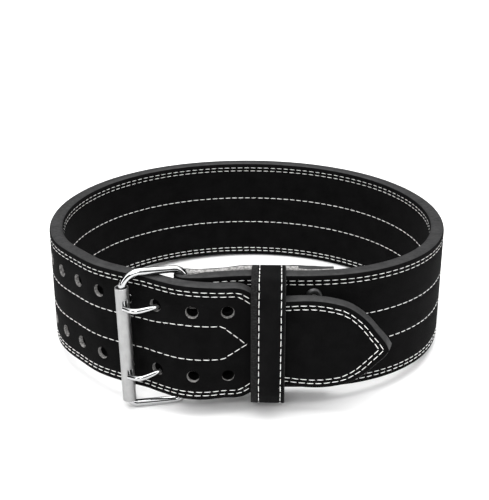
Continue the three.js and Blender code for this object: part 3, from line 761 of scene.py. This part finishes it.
FRONT_BAR_AT = BAR_AT - BUCKLE_LENGTH
ROLLER_OUT = free_end_out(-BUCKLE_LENGTH) + LEATHER / 2 + ROLLER_GAP + ROLLER_RADIUS
FRONT_BAR = stand_off(FRONT_BAR_AT, ROLLER_OUT)
_, FRONT_FORWARD, FRONT_OUTWARD = loop_at(FRONT_BAR_AT)
ARM_HEIGHT = FRAME_HEIGHT / 2
FRAME_MIDDLE = MIDDLE - FRAME_DROP
TIP_FORWARD = math.cos(PRONG_TIP_TURN) * ROLLER_RADIUS
TIP_OUTWARD = math.sin(PRONG_TIP_TURN) * ROLLER_RADIUS
FRAME_REACH = np.linalg.norm(FRONT_BAR - BAR_POINT)
ARM_WAY = (FRONT_BAR - BAR_POINT) / FRAME_REACH


def front_bar_at_height(height):
    return FRONT_BAR + ARM_WAY * FRAME_SKEW * (height - FRAME_MIDDLE) / FRAME_HEIGHT


def round_corners(corners, steps):
    """Closed outline through corners (x, y, bend), each turned by an arc."""
    points = []
    count = len(corners)
    for i, (x, y, bend) in enumerate(corners):
        spot = Vector((x, y))
        to_before = Vector(corners[i - 1][:2]) - spot
        to_after = Vector(corners[(i + 1) % count][:2]) - spot
        half = to_before.angle(to_after) / 2
        room = min(to_before.length, to_after.length) * CORNER_SHARE
        reach = min(bend / math.tan(half), room)
        radius = reach * math.tan(half)
        start = spot + to_before.normalized() * reach
        way = (to_before.normalized() + to_after.normalized()).normalized()
        centre = spot + way * radius / math.sin(half)
        sweep = math.pi - 2 * half
        arm = start - centre
        for step in range(steps + 1):
            turn = sweep * step / steps
            points.append(centre + Vector((
                arm.x * math.cos(turn) - arm.y * math.sin(turn),
                arm.x * math.sin(turn) + arm.y * math.cos(turn))))
    return points


def subdivide(points, step):
    """The same closed outline with no span longer than a step."""
    result = []
    for a, b in zip(points, points[1:] + points[:1]):
        pieces = max(1, math.ceil((b - a).length / step))
        result.extend(a.lerp(b, k / pieces) for k in range(pieces))
    return result


def frame_outline():
    """Wire's centre line from the bar's foot round to its top: (from the bar, from the middle)."""
    return round_corners([
        (0, -ARM_HEIGHT, FRAME_BEND_BAR_LOW),
        (FRAME_REACH - FRAME_SKEW / 2, -ARM_HEIGHT, FRAME_BEND_LOW),
        (FRAME_REACH + FRAME_SKEW / 2, ARM_HEIGHT, FRAME_BEND_HIGH),
        (0, ARM_HEIGHT, FRAME_BEND_BAR_HIGH),
    ], BEND_STEPS)


def frame_points(outline):
    return [Vector((*(BAR_POINT + ARM_WAY * spot.x), FRAME_MIDDLE + spot.y)) for spot in outline]


FRAME_PLANE_NORMAL = Vector((-ARM_WAY[1], ARM_WAY[0], 0))


# Strap

# Lines of the edge rows' grooves and of the inner row's: distance and share of sink
EDGE_LINES = [(row + offset, sink) for row in EDGE_ROWS for offset, sink in GROOVE[:3]]
EDGE_LINES.append((EDGE_ROWS[1] + GROOVE_REACH, 0))
INNER_LINES = [(INNER_ROW + offset, sink) for offset, sink in GROOVE[::-1]] + [(NEAR_MIDDLE, 0)]


def groove_share(i):
    """How deep the edge rows' grooves are at a station: they fade out in the tongue's tip."""
    return smoothstep(STRAP.row_height(i, EDGE_LINES[-1][0]) / STRAP.half[i], *GROOVE_FADE)


def upper_row(i):
    """Height of the upper inner row, which climbs a little along the free end."""
    climbed = smoothstep(STRAP.along[i] - LOOP_LENGTH, CLIMB_FROM, CLIMB_TO)
    return INNER_ROW + INNER_ROW_CLIMB * climbed * (STRAP.part[i] == FREE)


def face_profile(i, face):
    """Heights and sinks of the lines across one face, from its top to its bottom."""
    half, part = STRAP.half[i], STRAP.part[i]
    on_seam = face < 0 and part in (LAP, LAYER)
    stitched = part != FOLD and not on_seam
    past_holes = part == FREE and STRAP.along[i] - LOOP_LENGTH > V_START_AT
    share = groove_share(i)
    if share > 0:
        top = [(STRAP.row_height(i, distance), sink * stitched * share)
               for distance, sink in EDGE_LINES]
    else:
        top = [(half * (TIP_LINE_FROM - TIP_LINE_STEP * k), 0) for k in range(len(EDGE_LINES))]
    lowest = top[-1][0]
    top += [(lowest * line, 0) for line in PLAIN_LINES]
    highest = (half - edge_rounding(i)) * FACE_SHARE
    squeeze = min(1, highest / top[0][0])
    halves = []
    for climb in (upper_row(i) - INNER_ROW, 0):
        inside = min(1, INNER_SHARE * lowest * PLAIN_LINES[1] / (INNER_LINES[0][0] + climb))
        middle = [((distance + climb) * inside, sink * stitched * (not past_holes))
                  for distance, sink in INNER_LINES]
        halves.append([(up * squeeze, sink) for up, sink in top + middle])
    return halves[0] + [(0, 0)] + [(-up, sink) for up, sink in halves[1][::-1]]


def edge_rounding(i):
    return min(EDGE_ROUND, STRAP.wall[i] * EDGE_ROUND_OF_WALL, STRAP.half[i] * EDGE_ROUND_OF_HALF)


def strap_ring(i):
    """Points of one ring of the strap's skin, and the zone and side of each stretch after them."""
    wall, half = STRAP.wall[i], STRAP.half[i]
    rounding = edge_rounding(i)
    ring, kinds = [], []

    def corner(upward, sideward, quarter):
        for step in range(CORNER_STEPS + 1):
            turn = (quarter + step / CORNER_STEPS) * math.pi / 2
            ring.append((upward * (half - rounding) + math.cos(turn) * rounding,
                         sideward * (wall / 2 - rounding) + math.sin(turn) * rounding))
            to_face = step if quarter % 2 == 0 else CORNER_STEPS - 1 - step
            kinds.append(("face" if to_face >= CORNER_STEPS / 2 else "edge", sideward))

    def face(side, profile):
        kinds[-1] = ("face", side)
        for up, sink in profile:
            ring.append((up, side * (wall / 2 - sink * GROOVE_DEPTH)))
            kinds.append(("face", side))

    def edge(upward, first_side):
        """Splits the flat edge, so that its two sides can differ."""
        kinds[-1] = ("edge", first_side)
        sway = sum(size * math.sin(rate * STRAP.along[i] + phase)
                   for size, rate, phase in EDGE_WAVES)
        ring.append((upward * half, (wall / 2 - rounding) * (sway + EDGE_SPLIT)))
        kinds.append(("edge", -first_side))

    corner(1, 1, 0)
    face(1, face_profile(i, 1))
    corner(-1, 1, 1)
    edge(-1, 1)
    corner(-1, -1, 2)
    face(-1, face_profile(i, -1)[::-1])
    corner(1, -1, 3)
    edge(1, -1)
    return ring, kinds


def strap_material(i, kind):
    part, along = STRAP.part[i], STRAP.along[i]
    zone, side = kind
    on_seam = side < 0 and part in (LAP, FOLD, LAYER)
    if zone == "face":
        return RAW if on_seam else SUEDE
    return RAW if on_seam and part == LAP and along < BAR_AT + RAW_END * LAP_LENGTH else PAINT


def facing(way, place):
    """Turns +Z to a way and moves the origin to a place."""
    return Matrix.Translation(place) @ UP.rotation_difference(Vector(way)).to_matrix().to_4x4()


def join_solids(solids):
    """One list of vertices, faces and face materials from several solids."""
    vertices, faces, materials = [], [], []
    for solid_vertices, solid_faces, solid_materials in solids:
        base = len(vertices)
        vertices.extend(solid_vertices)
        faces.extend(tuple(base + k for k in face) for face in solid_faces)
        materials.extend(solid_materials)
    return vertices, faces, materials


def plain(solid, material=BORE):
    vertices, faces = solid
    return vertices, faces, [material] * len(faces)


def hole_cutters():
    """Adjusting holes, their bores painted black as shade except near the outer mouth, and rivet
    holes.
    """
    flare, mouth, reach = HOLE_RADIUS + HOLE_FLARE, LEATHER / 2, LEATHER * HOLE_CUT_REACH
    profile = mirrored([(HOLE_RADIUS, LEATHER * HOLE_SHADE_SHARE),
                        (HOLE_RADIUS, mouth - 2 * HOLE_FLARE), (flare, mouth),
                        (flare * HOLE_CUT_FLARE, reach), (0, reach)])
    # The deeper bore takes the black suede as painted shade; only the part near the outer mouth
    # shows the bore's leather
    stretches = [SUEDE, SUEDE, SUEDE, SUEDE, BORE, BORE, SUEDE, SUEDE, SUEDE]
    materials = repeat_each(stretches, HOLE_SIDES)
    solids = []
    for pair in range(HOLE_PAIRS):
        centre, outward = free_end_at(LAST_HOLE_AT - pair * HOLE_PITCH)
        for height in HOLE_HEIGHTS:
            matrix = facing((*outward, 0), (*centre, height))
            solids.append((*turned_solid(profile, HOLE_SIDES, matrix), materials))
    radius = RIVET_SHANK_RADIUS + GAP
    for spot in rivet_spots():
        front, back = spot["front"] + RIVET_CUT_PAST, spot["back"] - RIVET_CUT_PAST
        profile = [(0, back), (radius, back), (radius, front), (0, front)]
        matrix = facing(spot["outward"], spot["foot"])
        solids.append(plain(turned_solid(profile, RIVET_HOLE_SIDES, matrix)))
    return solids


def slot_cutters():
    """Slots past the bar, round at their ends."""
    far = (BAR_CLEARANCE + PRONG_RADIUS) * SLOT_PAST_BAR_SHARE
    reach = buckle_end_faces(0)["front"] + GAP
    turns = [-math.pi / 2 + math.pi * step / SLOT_STEPS for step in range(SLOT_STEPS + 1)]
    outline = [(0, -SLOT_HALF)]
    outline += [(far - SLOT_HALF + math.cos(turn) * SLOT_HALF, math.sin(turn) * SLOT_HALF)
                for turn in turns]
    outline.append((0, SLOT_HALF))
    solids = []
    for height in HOLE_HEIGHTS:
        vertices = [Vector((*(BAR_POINT + BAR_FORWARD * run + BAR_OUTWARD * out), height + rise))
                    for out in (-reach, reach) for run, rise in outline]
        solids.append(plain((vertices, skin_faces(2, len(outline)))))
    return solids


def drum_cutters():
    """What opens each slot round the bar."""
    reach = buckle_end_faces(0)["front"] + GAP
    drum = mirrored([(reach, SLOT_HALF), (0, SLOT_HALF)])
    return [plain(turned_solid(drum, TURNED_SIDES, Matrix.Translation((*BAR_POINT, height))))
            for height in HOLE_HEIGHTS]


def wire_relief_cutter():
    """Relief in the fold's upper corner, where the frame's wire bends out of it."""
    points = frame_points(frame_outline()[-(BEND_STEPS + 1):])
    return plain(rod(points, [WIRE_RADIUS + GAP] * len(points), FRAME_PLANE_NORMAL), SUEDE)


def make_strap():
    count = len(STRAP.distance)
    vertices, face_materials = [], []
    for i in range(count):
        ring, kinds = strap_ring(i)
        vertices.extend(STRAP.point(i, up, out) for up, out in ring)
        face_materials.extend(strap_material(i, kind) for kind in kinds)
    # The last ring has only the two end caps after it
    face_materials[-len(ring):] = [PAINT, PAINT]
    strap = add_object("suede_strap", vertices, skin_faces(count, len(ring)), STRAP_MATERIALS,
                       face_materials)
    for solids in (hole_cutters(), slot_cutters(), drum_cutters(), [wire_relief_cutter()]):
        vertices, faces, materials = join_solids(solids)
        cut(strap, add_object("cutter", vertices, faces, STRAP_MATERIALS, materials))
    finish_piece(strap, "suede_leather", "strap", sharp=math.radians(50))


# Stitching

class Stitches:
    def __init__(self, seed):
        self.vertices, self.faces = [], []
        self.random = random.Random(seed)

    def add_dash(self, middle, along, normal):
        """One stitch: a short rod whose ends dip into the leather."""
        base = len(self.vertices)
        across = along.cross(normal).normalized()
        length = STITCH_LENGTH * self.random.uniform(*DASH_LENGTHS)
        sway = self.random.uniform(-DASH_SWAY, DASH_SWAY)
        for share, lift, thick in DASH:
            centre = (middle + along * share * length + across * sway * share * 2
                      + normal * lift * THREAD_RADIUS)
            self.vertices.extend(centre + THREAD_RADIUS * thick * (normal * c + across * s)
                                 for c, s in circle(DASH_SIDES))
        self.faces.extend(tuple(base + k for k in face)
                          for face in skin_faces(len(DASH), DASH_SIDES))

    def add_row(self, points, normals, closed=False):
        """Dashes at an even pitch along a line of points on the leather."""
        if closed:
            points, normals = points + points[:1], normals + normals[:1]
        steps = [(b - a).length for a, b in zip(points, points[1:])]
        total = sum(steps)
        count = 2 * max(round(total / STITCH_PITCH / 2), 1)
        pitch = total / count
        i, passed = 0, 0.0
        for n in range(count):
            target = (n + 0.5) * pitch
            while i < len(steps) - 1 and passed + steps[i] < target:
                passed += steps[i]
                i += 1
            share = (target - passed) / steps[i]
            middle = points[i].lerp(points[i + 1], share)
            along = (points[i + 1] - points[i]).normalized()
            self.add_dash(middle, along, normals[i].lerp(normals[i + 1], share).normalized())

    def build(self, name, slot):
        obj = add_object(name, self.vertices, self.faces, ["thread"])
        finish_piece(obj, slot, sharp=math.radians(80))


def row_line(stations, height_at, face, share_at):
    """Points and normals of a line on one face of the strap through some of its stations."""
    points = [STRAP.point(i, height_at(i), face * (STRAP.wall[i] / 2 - GROOVE_DEPTH * share_at(i)))
              for i in stations]
    return points, [Vector((*(STRAP.side[i] * face), 0)) for i in stations]


def add_returning_row(stitches, stations, height_at, face, share_at, low_height_at=None):
    """A row that runs out above the middle and comes back below it, to a point if it narrows."""
    points, normals = row_line(stations, height_at, face, share_at)
    low_height_at = low_height_at or height_at
    back_points, back_normals = row_line(
        stations[::-1], lambda i: -low_height_at(i), face, share_at)
    height = height_at(stations[-1])
    narrowing = height_at(stations[-2]) - height
    if narrowing > 0:
        points.append(points[-1] + (points[-1] - points[-2]) * min(height / narrowing, 2))
        normals.append(normals[-1])
    stitches.add_row(points + back_points, normals + back_normals)


def stations_of(*parts, start=-math.inf, end=math.inf):
    return [i for i in range(len(STRAP.part))
            if STRAP.part[i] in parts and start <= STRAP.along[i] <= end]


def stitch_edges(stitches, stations, face):
    for from_edge in EDGE_ROWS:
        rows = [i for i in stations if STRAP.row_height(i, from_edge) > LOWEST_STITCH]
        add_returning_row(stitches, rows, lambda i: STRAP.row_height(i, from_edge), face,
                          groove_share)


def stitch_inner(stitches, stations, face):
    """The two inner rows, which meet in a point past the last holes."""
    v_start = LOOP_LENGTH + V_START_AT
    run = [i for i in stations if STRAP.along[i] <= v_start + V_LENGTH]

    def narrowing(i):
        return 1 - max(STRAP.along[i] - v_start, 0) / V_LENGTH

    add_returning_row(stitches, run, lambda i: upper_row(i) * narrowing(i), face,
                      lambda i: float(narrowing(i) == 1), lambda i: INNER_ROW * narrowing(i))


def make_stitching():
    clear_of_fold = BAR_AT + FOLD_CLEAR_SHARE * LAP_LENGTH
    outer, inner = Stitches(seed=11), Stitches(seed=12)
    outer_run = stations_of(LAYER, WAIST, FREE, start=clear_of_fold)
    inner_run = stations_of(WAIST, FREE)
    for stitches, run, face in ((outer, outer_run, 1), (inner, inner_run, -1)):
        stitch_edges(stitches, run, face)
        stitch_inner(stitches, run, face)
    lap_run = stations_of(LAP, start=clear_of_fold, end=LAP_END_AT - LAP_END_ROW)
    for from_edge in EDGE_ROWS:
        rows = [i for i in lap_run if STRAP.along[i] < LAP_END_AT - from_edge]
        add_returning_row(inner, rows[::-1], lambda i: MIDDLE - from_edge, 1, lambda i: 1.0)
    rows = [i for i in lap_run if STRAP.along[i] < LAP_END_AT - EDGE_ROWS[1]]
    for sign in (1, -1):
        inner.add_row(*row_line(rows, lambda i: sign * INNER_ROW, 1, lambda i: 1.0))
    outer.build("stitching_outside", "suede_leather")
    inner.build("stitching_inside", "suede_leather")


# Keeper

def keeper_outline():
    """Inside of the keeper's band: (out from the loop's curve, height above the middle)."""
    inner = buckle_end_faces(KEEPER_FROM_BAR)["layer"] - GAP
    outer = free_end_out(KEEPER_FROM_BAR) + LEATHER / 2 + KEEPER_SLACK
    above = MIDDLE + KEEPER_CLEARANCE
    corners = [
        (inner, -above, EDGE_ROUND),
        (outer - KEEPER_DRAW_LOW, -above, KEEPER_BEND),
        (outer, -KEEPER_FLAT / 2, KEEPER_SOFT_BEND),
        (outer, KEEPER_FLAT / 2, KEEPER_SOFT_BEND),
        (outer - KEEPER_DRAW_HIGH, above, KEEPER_BEND),
        (inner, above, EDGE_ROUND),
    ]
    return subdivide(round_corners(corners, KEEPER_BEND_STEPS), KEEPER_SPAN)


def keeper_section(rows):
    """Outline of the band's section, with a groove for each row: (across the band, out)."""
    half_width, half_wall = KEEPER_WIDTH / 2, KEEPER_WALL / 2
    section = []
    for quarter, (run_sign, wall_sign) in enumerate(((1, 1), (-1, 1), (-1, -1), (1, -1))):
        for step in range(KEEPER_EDGE_STEPS + 1):
            turn = (quarter + step / KEEPER_EDGE_STEPS) * math.pi / 2
            section.append((run_sign * (half_width - KEEPER_EDGE) + math.cos(turn) * KEEPER_EDGE,
                            wall_sign * (half_wall - KEEPER_EDGE) + math.sin(turn) * KEEPER_EDGE))
        if quarter == 0:
            section.extend((row + offset, half_wall - GROOVE_DEPTH * sink)
                           for row in rows for offset, sink in GROOVE[::-1])
        if quarter == 2:
            section.extend((half_width * share, -half_wall) for share in (-0.5, 0, 0.5))
    return section


def make_keeper():
    point, forward, outward = loop_at(BAR_AT + KEEPER_FROM_BAR)
    outline = keeper_outline()
    half_width, half_wall = KEEPER_WIDTH / 2, KEEPER_WALL / 2
    rows = (half_width - KEEPER_ROW_LEFT, KEEPER_ROW_RIGHT - half_width)
    section = keeper_section(rows)
    face_materials = [int(run > rows[0] + KEEPER_BORDER or run < KEEPER_BORDER - half_width)
                      for run, _ in section]
    vertices, normals, lines = [], [], ([], [])
    for i, spot in enumerate(outline):
        along = (outline[(i + 1) % len(outline)] - outline[i - 1]).normalized()
        normal = Vector((along.y, -along.x))
        centre = spot + normal * half_wall

        def place(run, out):
            flat = centre + normal * out
            x, y = point + outward * flat.x - forward * run
            return Vector((x, y, MIDDLE + flat.y))

        vertices.extend(place(run, out) for run, out in section)
        normals.append(Vector((*(outward * normal.x), normal.y)))
        for line, row in zip(lines, rows):
            line.append(place(row, half_wall - GROOVE_DEPTH))
    faces = band_faces(len(outline), len(section), closed=True)
    keeper = add_object("suede_keeper", vertices, faces, ["keeper", "fibres"],
                        face_materials * len(outline))
    finish_piece(keeper, "keeper_leather", "keeper")
    stitches = Stitches(seed=13)
    for line in lines[::-1]:
        stitches.add_row(line, normals, closed=True)
    stitches.build("stitching_keeper", "keeper_leather")


# Buckle

def make_buckle_frame():
    points = frame_points(subdivide(frame_outline(), FRAME_SPAN))
    vertices, faces = rod(points, [WIRE_RADIUS] * len(points), FRAME_PLANE_NORMAL, True)
    wire = add_object("buckle_wire", vertices, faces, ["nickel"])
    finish_piece(wire, "nickel_wire", "buckle_frame")


def make_roller():
    half, inner = ROLLER_LENGTH / 2, ROLLER_RADIUS - ROLLER_WALL
    profile = mirrored([(ROLLER_RADIUS, half - ROLLER_SOFT), (ROLLER_RADIUS - ROLLER_SOFT, half),
                        (inner + ROLLER_SOFT, half), (inner, half - ROLLER_SOFT)])
    centre = FRAME_MIDDLE - ARM_HEIGHT + WIRE_RADIUS + ROLLER_SEAT + half
    turn = math.atan2(FRONT_FORWARD[1], FRONT_FORWARD[0])
    matrix = (facing((*(ARM_WAY * FRAME_SKEW), FRAME_HEIGHT), (*front_bar_at_height(centre), centre))
              @ Matrix.Rotation(turn, 4, "Z"))
    roller = add_object("rolled_tube", *lathe(profile, TURNED_SIDES, matrix, closed=True),
                        ["roller"])
    near = TIP_FORWARD - NOTCH_CLEARANCE
    front = PRONG_RADIUS + NOTCH_CLEARANCE - TIP_OUTWARD
    depth = 2 * ROLLER_RADIUS
    notches = []
    for rise in (-PRONG_TIP_ROW, PRONG_TIP_ROW):
        base = FRAME_MIDDLE + rise - PRONG_RADIUS - GAP - centre
        vertices = [matrix @ Vector((x, y, height)) for height in (base, base + NOTCH_HEIGHT)
                    for x, y in ((near, front), (near, front - depth),
                                 (near + depth, front - depth), (near + depth, front))]
        notches.append(plain((vertices, skin_faces(2, 4)), 0))
    vertices, faces, _ = join_solids(notches)
    cut(roller, add_object("notches", vertices, faces, ["roller"]))
    finish_piece(roller, "satin_roller", "roller")


def smooth_line(points, steps):
    """Points of a smooth curve through the given points."""
    result = []
    spans = len(points) - 1
    for n in range(steps + 1):
        place = spans * n / steps
        i = min(int(place), spans - 1)
        t = place - i
        p0, p1 = points[max(i - 1, 0)], points[i]
        p2, p3 = points[i + 1], points[min(i + 2, spans)]
        v0, v1 = (p2 - p0) * 0.5, (p3 - p1) * 0.5
        result.append((2 * p1 - 2 * p2 + v0 + v1) * t ** 3
                      + (-3 * p1 + 3 * p2 - 2 * v0 - v1) * t ** 2 + v0 * t + p1)
    return result


def even_line(points, steps):
    """The same line at equal steps of its length."""
    line = np.array(points)
    lengths = np.hypot(*np.diff(line, axis=0).T)
    distances = np.concatenate([[0], np.cumsum(lengths)])
    places = np.linspace(0, distances[-1], steps + 1)
    return list(np.stack([np.interp(places, distances, line[:, k]) for k in (0, 1)], axis=1))


def make_prong(name, node, side):
    loop_radius = BAR_CLEARANCE + PRONG_RADIUS
    eye_at, tip_at = MIDDLE + side * PRONG_EYE_ROW, FRAME_MIDDLE + side * PRONG_TIP_ROW
    points = []
    for step in range(PRONG_LOOP_STEPS):
        turn = PRONG_LOOP_TURN * step / PRONG_LOOP_STEPS
        spot = (BAR_POINT - BAR_FORWARD * math.cos(turn) * loop_radius
                - BAR_OUTWARD * math.sin(turn) * loop_radius)
        points.append(Vector((*spot, eye_at)))
    hole, hole_outward = free_end_at(PRONG_HOLE_AT)
    tip = (front_bar_at_height(tip_at) + FRONT_FORWARD * TIP_FORWARD
           + FRONT_OUTWARD * TIP_OUTWARD)
    shank = even_line(smooth_line([
        BAR_POINT + BAR_OUTWARD * loop_radius,
        hole - hole_outward * LEATHER * PRONG_INSIDE_SHARE,
        hole,
        hole + hole_outward * LEATHER * PRONG_OUTSIDE_SHARE,
        tip + FRONT_FORWARD * PRONG_TIP_RUN + FRONT_OUTWARD * PRONG_TIP_RISE,
        tip,
    ], PRONG_CURVE_STEPS), PRONG_STEPS)
    for i, spot in enumerate(shank):
        height = mix(eye_at, tip_at, (i / PRONG_STEPS) ** PRONG_SLANT_POWER)
        points.append(Vector((*spot, height)))
    ahead = (points[-1] - points[-2]).normalized()
    behind = (points[0] - points[1]).normalized()
    radii = [PRONG_RADIUS] * len(points)
    for share in PRONG_END_SHARES:
        slim = PRONG_RADIUS * math.sqrt(max(1 - share ** 2, PRONG_END_LEAST))
        points = [points[0] + behind * PRONG_RADIUS * PRONG_END_STEP, *points,
                  points[-1] + ahead * PRONG_RADIUS * PRONG_END_STEP]
        radii = [slim, *radii, slim]
    prong = add_object(name, *rod(points, radii, UP, sides=PRONG_SIDES), ["nickel"])
    finish_piece(prong, "nickel_wire", node)


# Rivets

def rivet_spots():
    spots = []
    for number, column in enumerate(("fold", "end")):
        past_bar = RIVET_FROM_BAR + number * RIVET_SPACING
        point, _, outward = loop_at(BAR_AT + past_bar)
        around = [buckle_end_faces(past_bar + side * RIVET_HEAD_RADIUS) for side in (-1, 0, 1)]
        for level, row in enumerate(("lower", "middle", "upper")):
            spots.append(dict(
                node=f"rivet_{column}_{row}",
                foot=(*point, MIDDLE + (level - 1) * RIVET_ROW),
                outward=(*outward, 0),
                front=max(faces["front"] for faces in around),
                back=min(faces["back"] for faces in around),
            ))
    return spots


def make_rivet(spot):
    front, back = spot["front"] + GAP, spot["back"] - GAP
    head, shank = RIVET_HEAD_RADIUS, RIVET_SHANK_RADIUS
    profile = [(head * share, back + RIVET_DISC * lift) for share, lift in DISC_PROFILE]
    profile += [(shank, back), (shank, front)]
    profile += [(head * share, front + RIVET_CAP * lift) for share, lift in CAP_PROFILE]
    matrix = facing(spot["outward"], spot["foot"])
    # The cap's rim is painted near-black as shade and reflection of the dark leather round it; disc,
    # shank and dimple keep the rivet's steel
    disc_and_shank, cap_rim, dimple = [0] * 7, [1] * 6, [0] * 4
    materials = repeat_each(disc_and_shank + cap_rim + dimple, RIVET_SIDES)
    rivet = add_object(spot["node"].replace("rivet", "capped_rivet"),
                       *turned_solid(profile, RIVET_SIDES, matrix), ["rivet", "dark_cap"], materials)
    finish_piece(rivet, "rivet_metal", spot["node"])


# Stage, world, lights and camera

FLOOR_HALF = 6
FLOOR_TONE = (0.9, 0.9, 0.9)
FLOOR_ROUGHNESS = 0.9
WORLD_DARK_TO = 0.5
WORLD_WHITE_FROM = 0.75
WORLD_DARK = (0.004, 0.004, 0.004)
WORLD_STRENGTH = 1.9

# Name, place, aim, sizes and power of each light
LIGHTS = (
    ("overhead", (0, 0.1, 1.6), (0, 0, 0), (1.8, 1.4), 24),
    ("left_box", (-1.3, -0.9, 0.8), (0, 0, 0.05), (0.5, 1.3), 7),
    ("right_box", (1.3, -0.8, 0.8), (0, 0, 0.05), (0.5, 1.3), 6),
    ("front_box", (-0.25, -1.7, 1.3), (0, 0, 0.05), (0.9, 0.5), 12),
)


def make_stage():
    mesh = bpy.data.meshes.new("floor")
    corners = [(x * FLOOR_HALF, y * FLOOR_HALF, 0) for x, y in ((-1, -1), (1, -1), (1, 1), (-1, 1))]
    mesh.from_pydata(corners, [], [(0, 1, 2, 3)])
    mesh.materials.append(Look("pale_floor", FLOOR_TONE, FLOOR_ROUGHNESS).material)
    add_to_scene("floor", mesh)


def add_area_light(name, place, aim, size, power):
    data = bpy.data.lights.new(name, "AREA")
    data.shape = "RECTANGLE"
    data.size, data.size_y = size
    data.energy = power
    light = add_to_scene(name, data)
    light.location = place
    light.rotation_euler = (Vector(aim) - Vector(place)).to_track_quat("-Z", "Y").to_euler()


def make_world():
    """White dome that darkens towards the horizon, so that bright metal has dark reflections."""
    world = bpy.data.worlds.new("studio")
    world.use_nodes = True
    nodes, links = world.node_tree.nodes, world.node_tree.links
    place = nodes.new("ShaderNodeTexCoord")
    split = nodes.new("ShaderNodeSeparateXYZ")
    ramp = new_ramp(nodes, WORLD_DARK, (1, 1, 1), WORLD_DARK_TO, WORLD_WHITE_FROM)
    links.new(place.outputs["Generated"], split.inputs["Vector"])
    links.new(split.outputs["Z"], ramp.inputs["Fac"])
    background = nodes["Background"]
    background.inputs["Strength"].default_value = WORLD_STRENGTH
    links.new(ramp.outputs["Color"], background.inputs["Color"])
    bpy.context.scene.world = world


def make_lights():
    for light in LIGHTS:
        add_area_light(*light)
    bpy.context.scene.view_settings.view_transform = "Standard"


# Viewing angle of the photograph, in the upright belt's own frame, and the focal length as a
# share of the picture's larger side
CAMERA_PLACE = Vector((-0.0019, -0.8676, 0.4349))
CAMERA_PITCH = math.radians(90 - 23.27)
FOCAL_SHARE = 1042.8 / 500
SENSOR = 36
CLIP_START = 0.01


def make_camera():
    data = bpy.data.cameras.new("camera")
    data.sensor_width = SENSOR
    data.lens = SENSOR * FOCAL_SHARE
    data.clip_start = CLIP_START
    camera = add_to_scene("camera", data)
    upright = Matrix.Translation(CAMERA_PLACE) @ Matrix.Rotation(CAMERA_PITCH, 4, "X")
    camera.matrix_world = REST @ upright
    bpy.context.scene.camera = camera


make_strap()
make_stitching()
make_keeper()
make_buckle_frame()
make_roller()
make_prong("wire_prong_lower", "prong_lower", -1)
make_prong("wire_prong_upper", "prong_upper", 1)
for rivet_spot in rivet_spots():
    make_rivet(rivet_spot)
make_stage()
make_world()
make_lights()
make_camera()
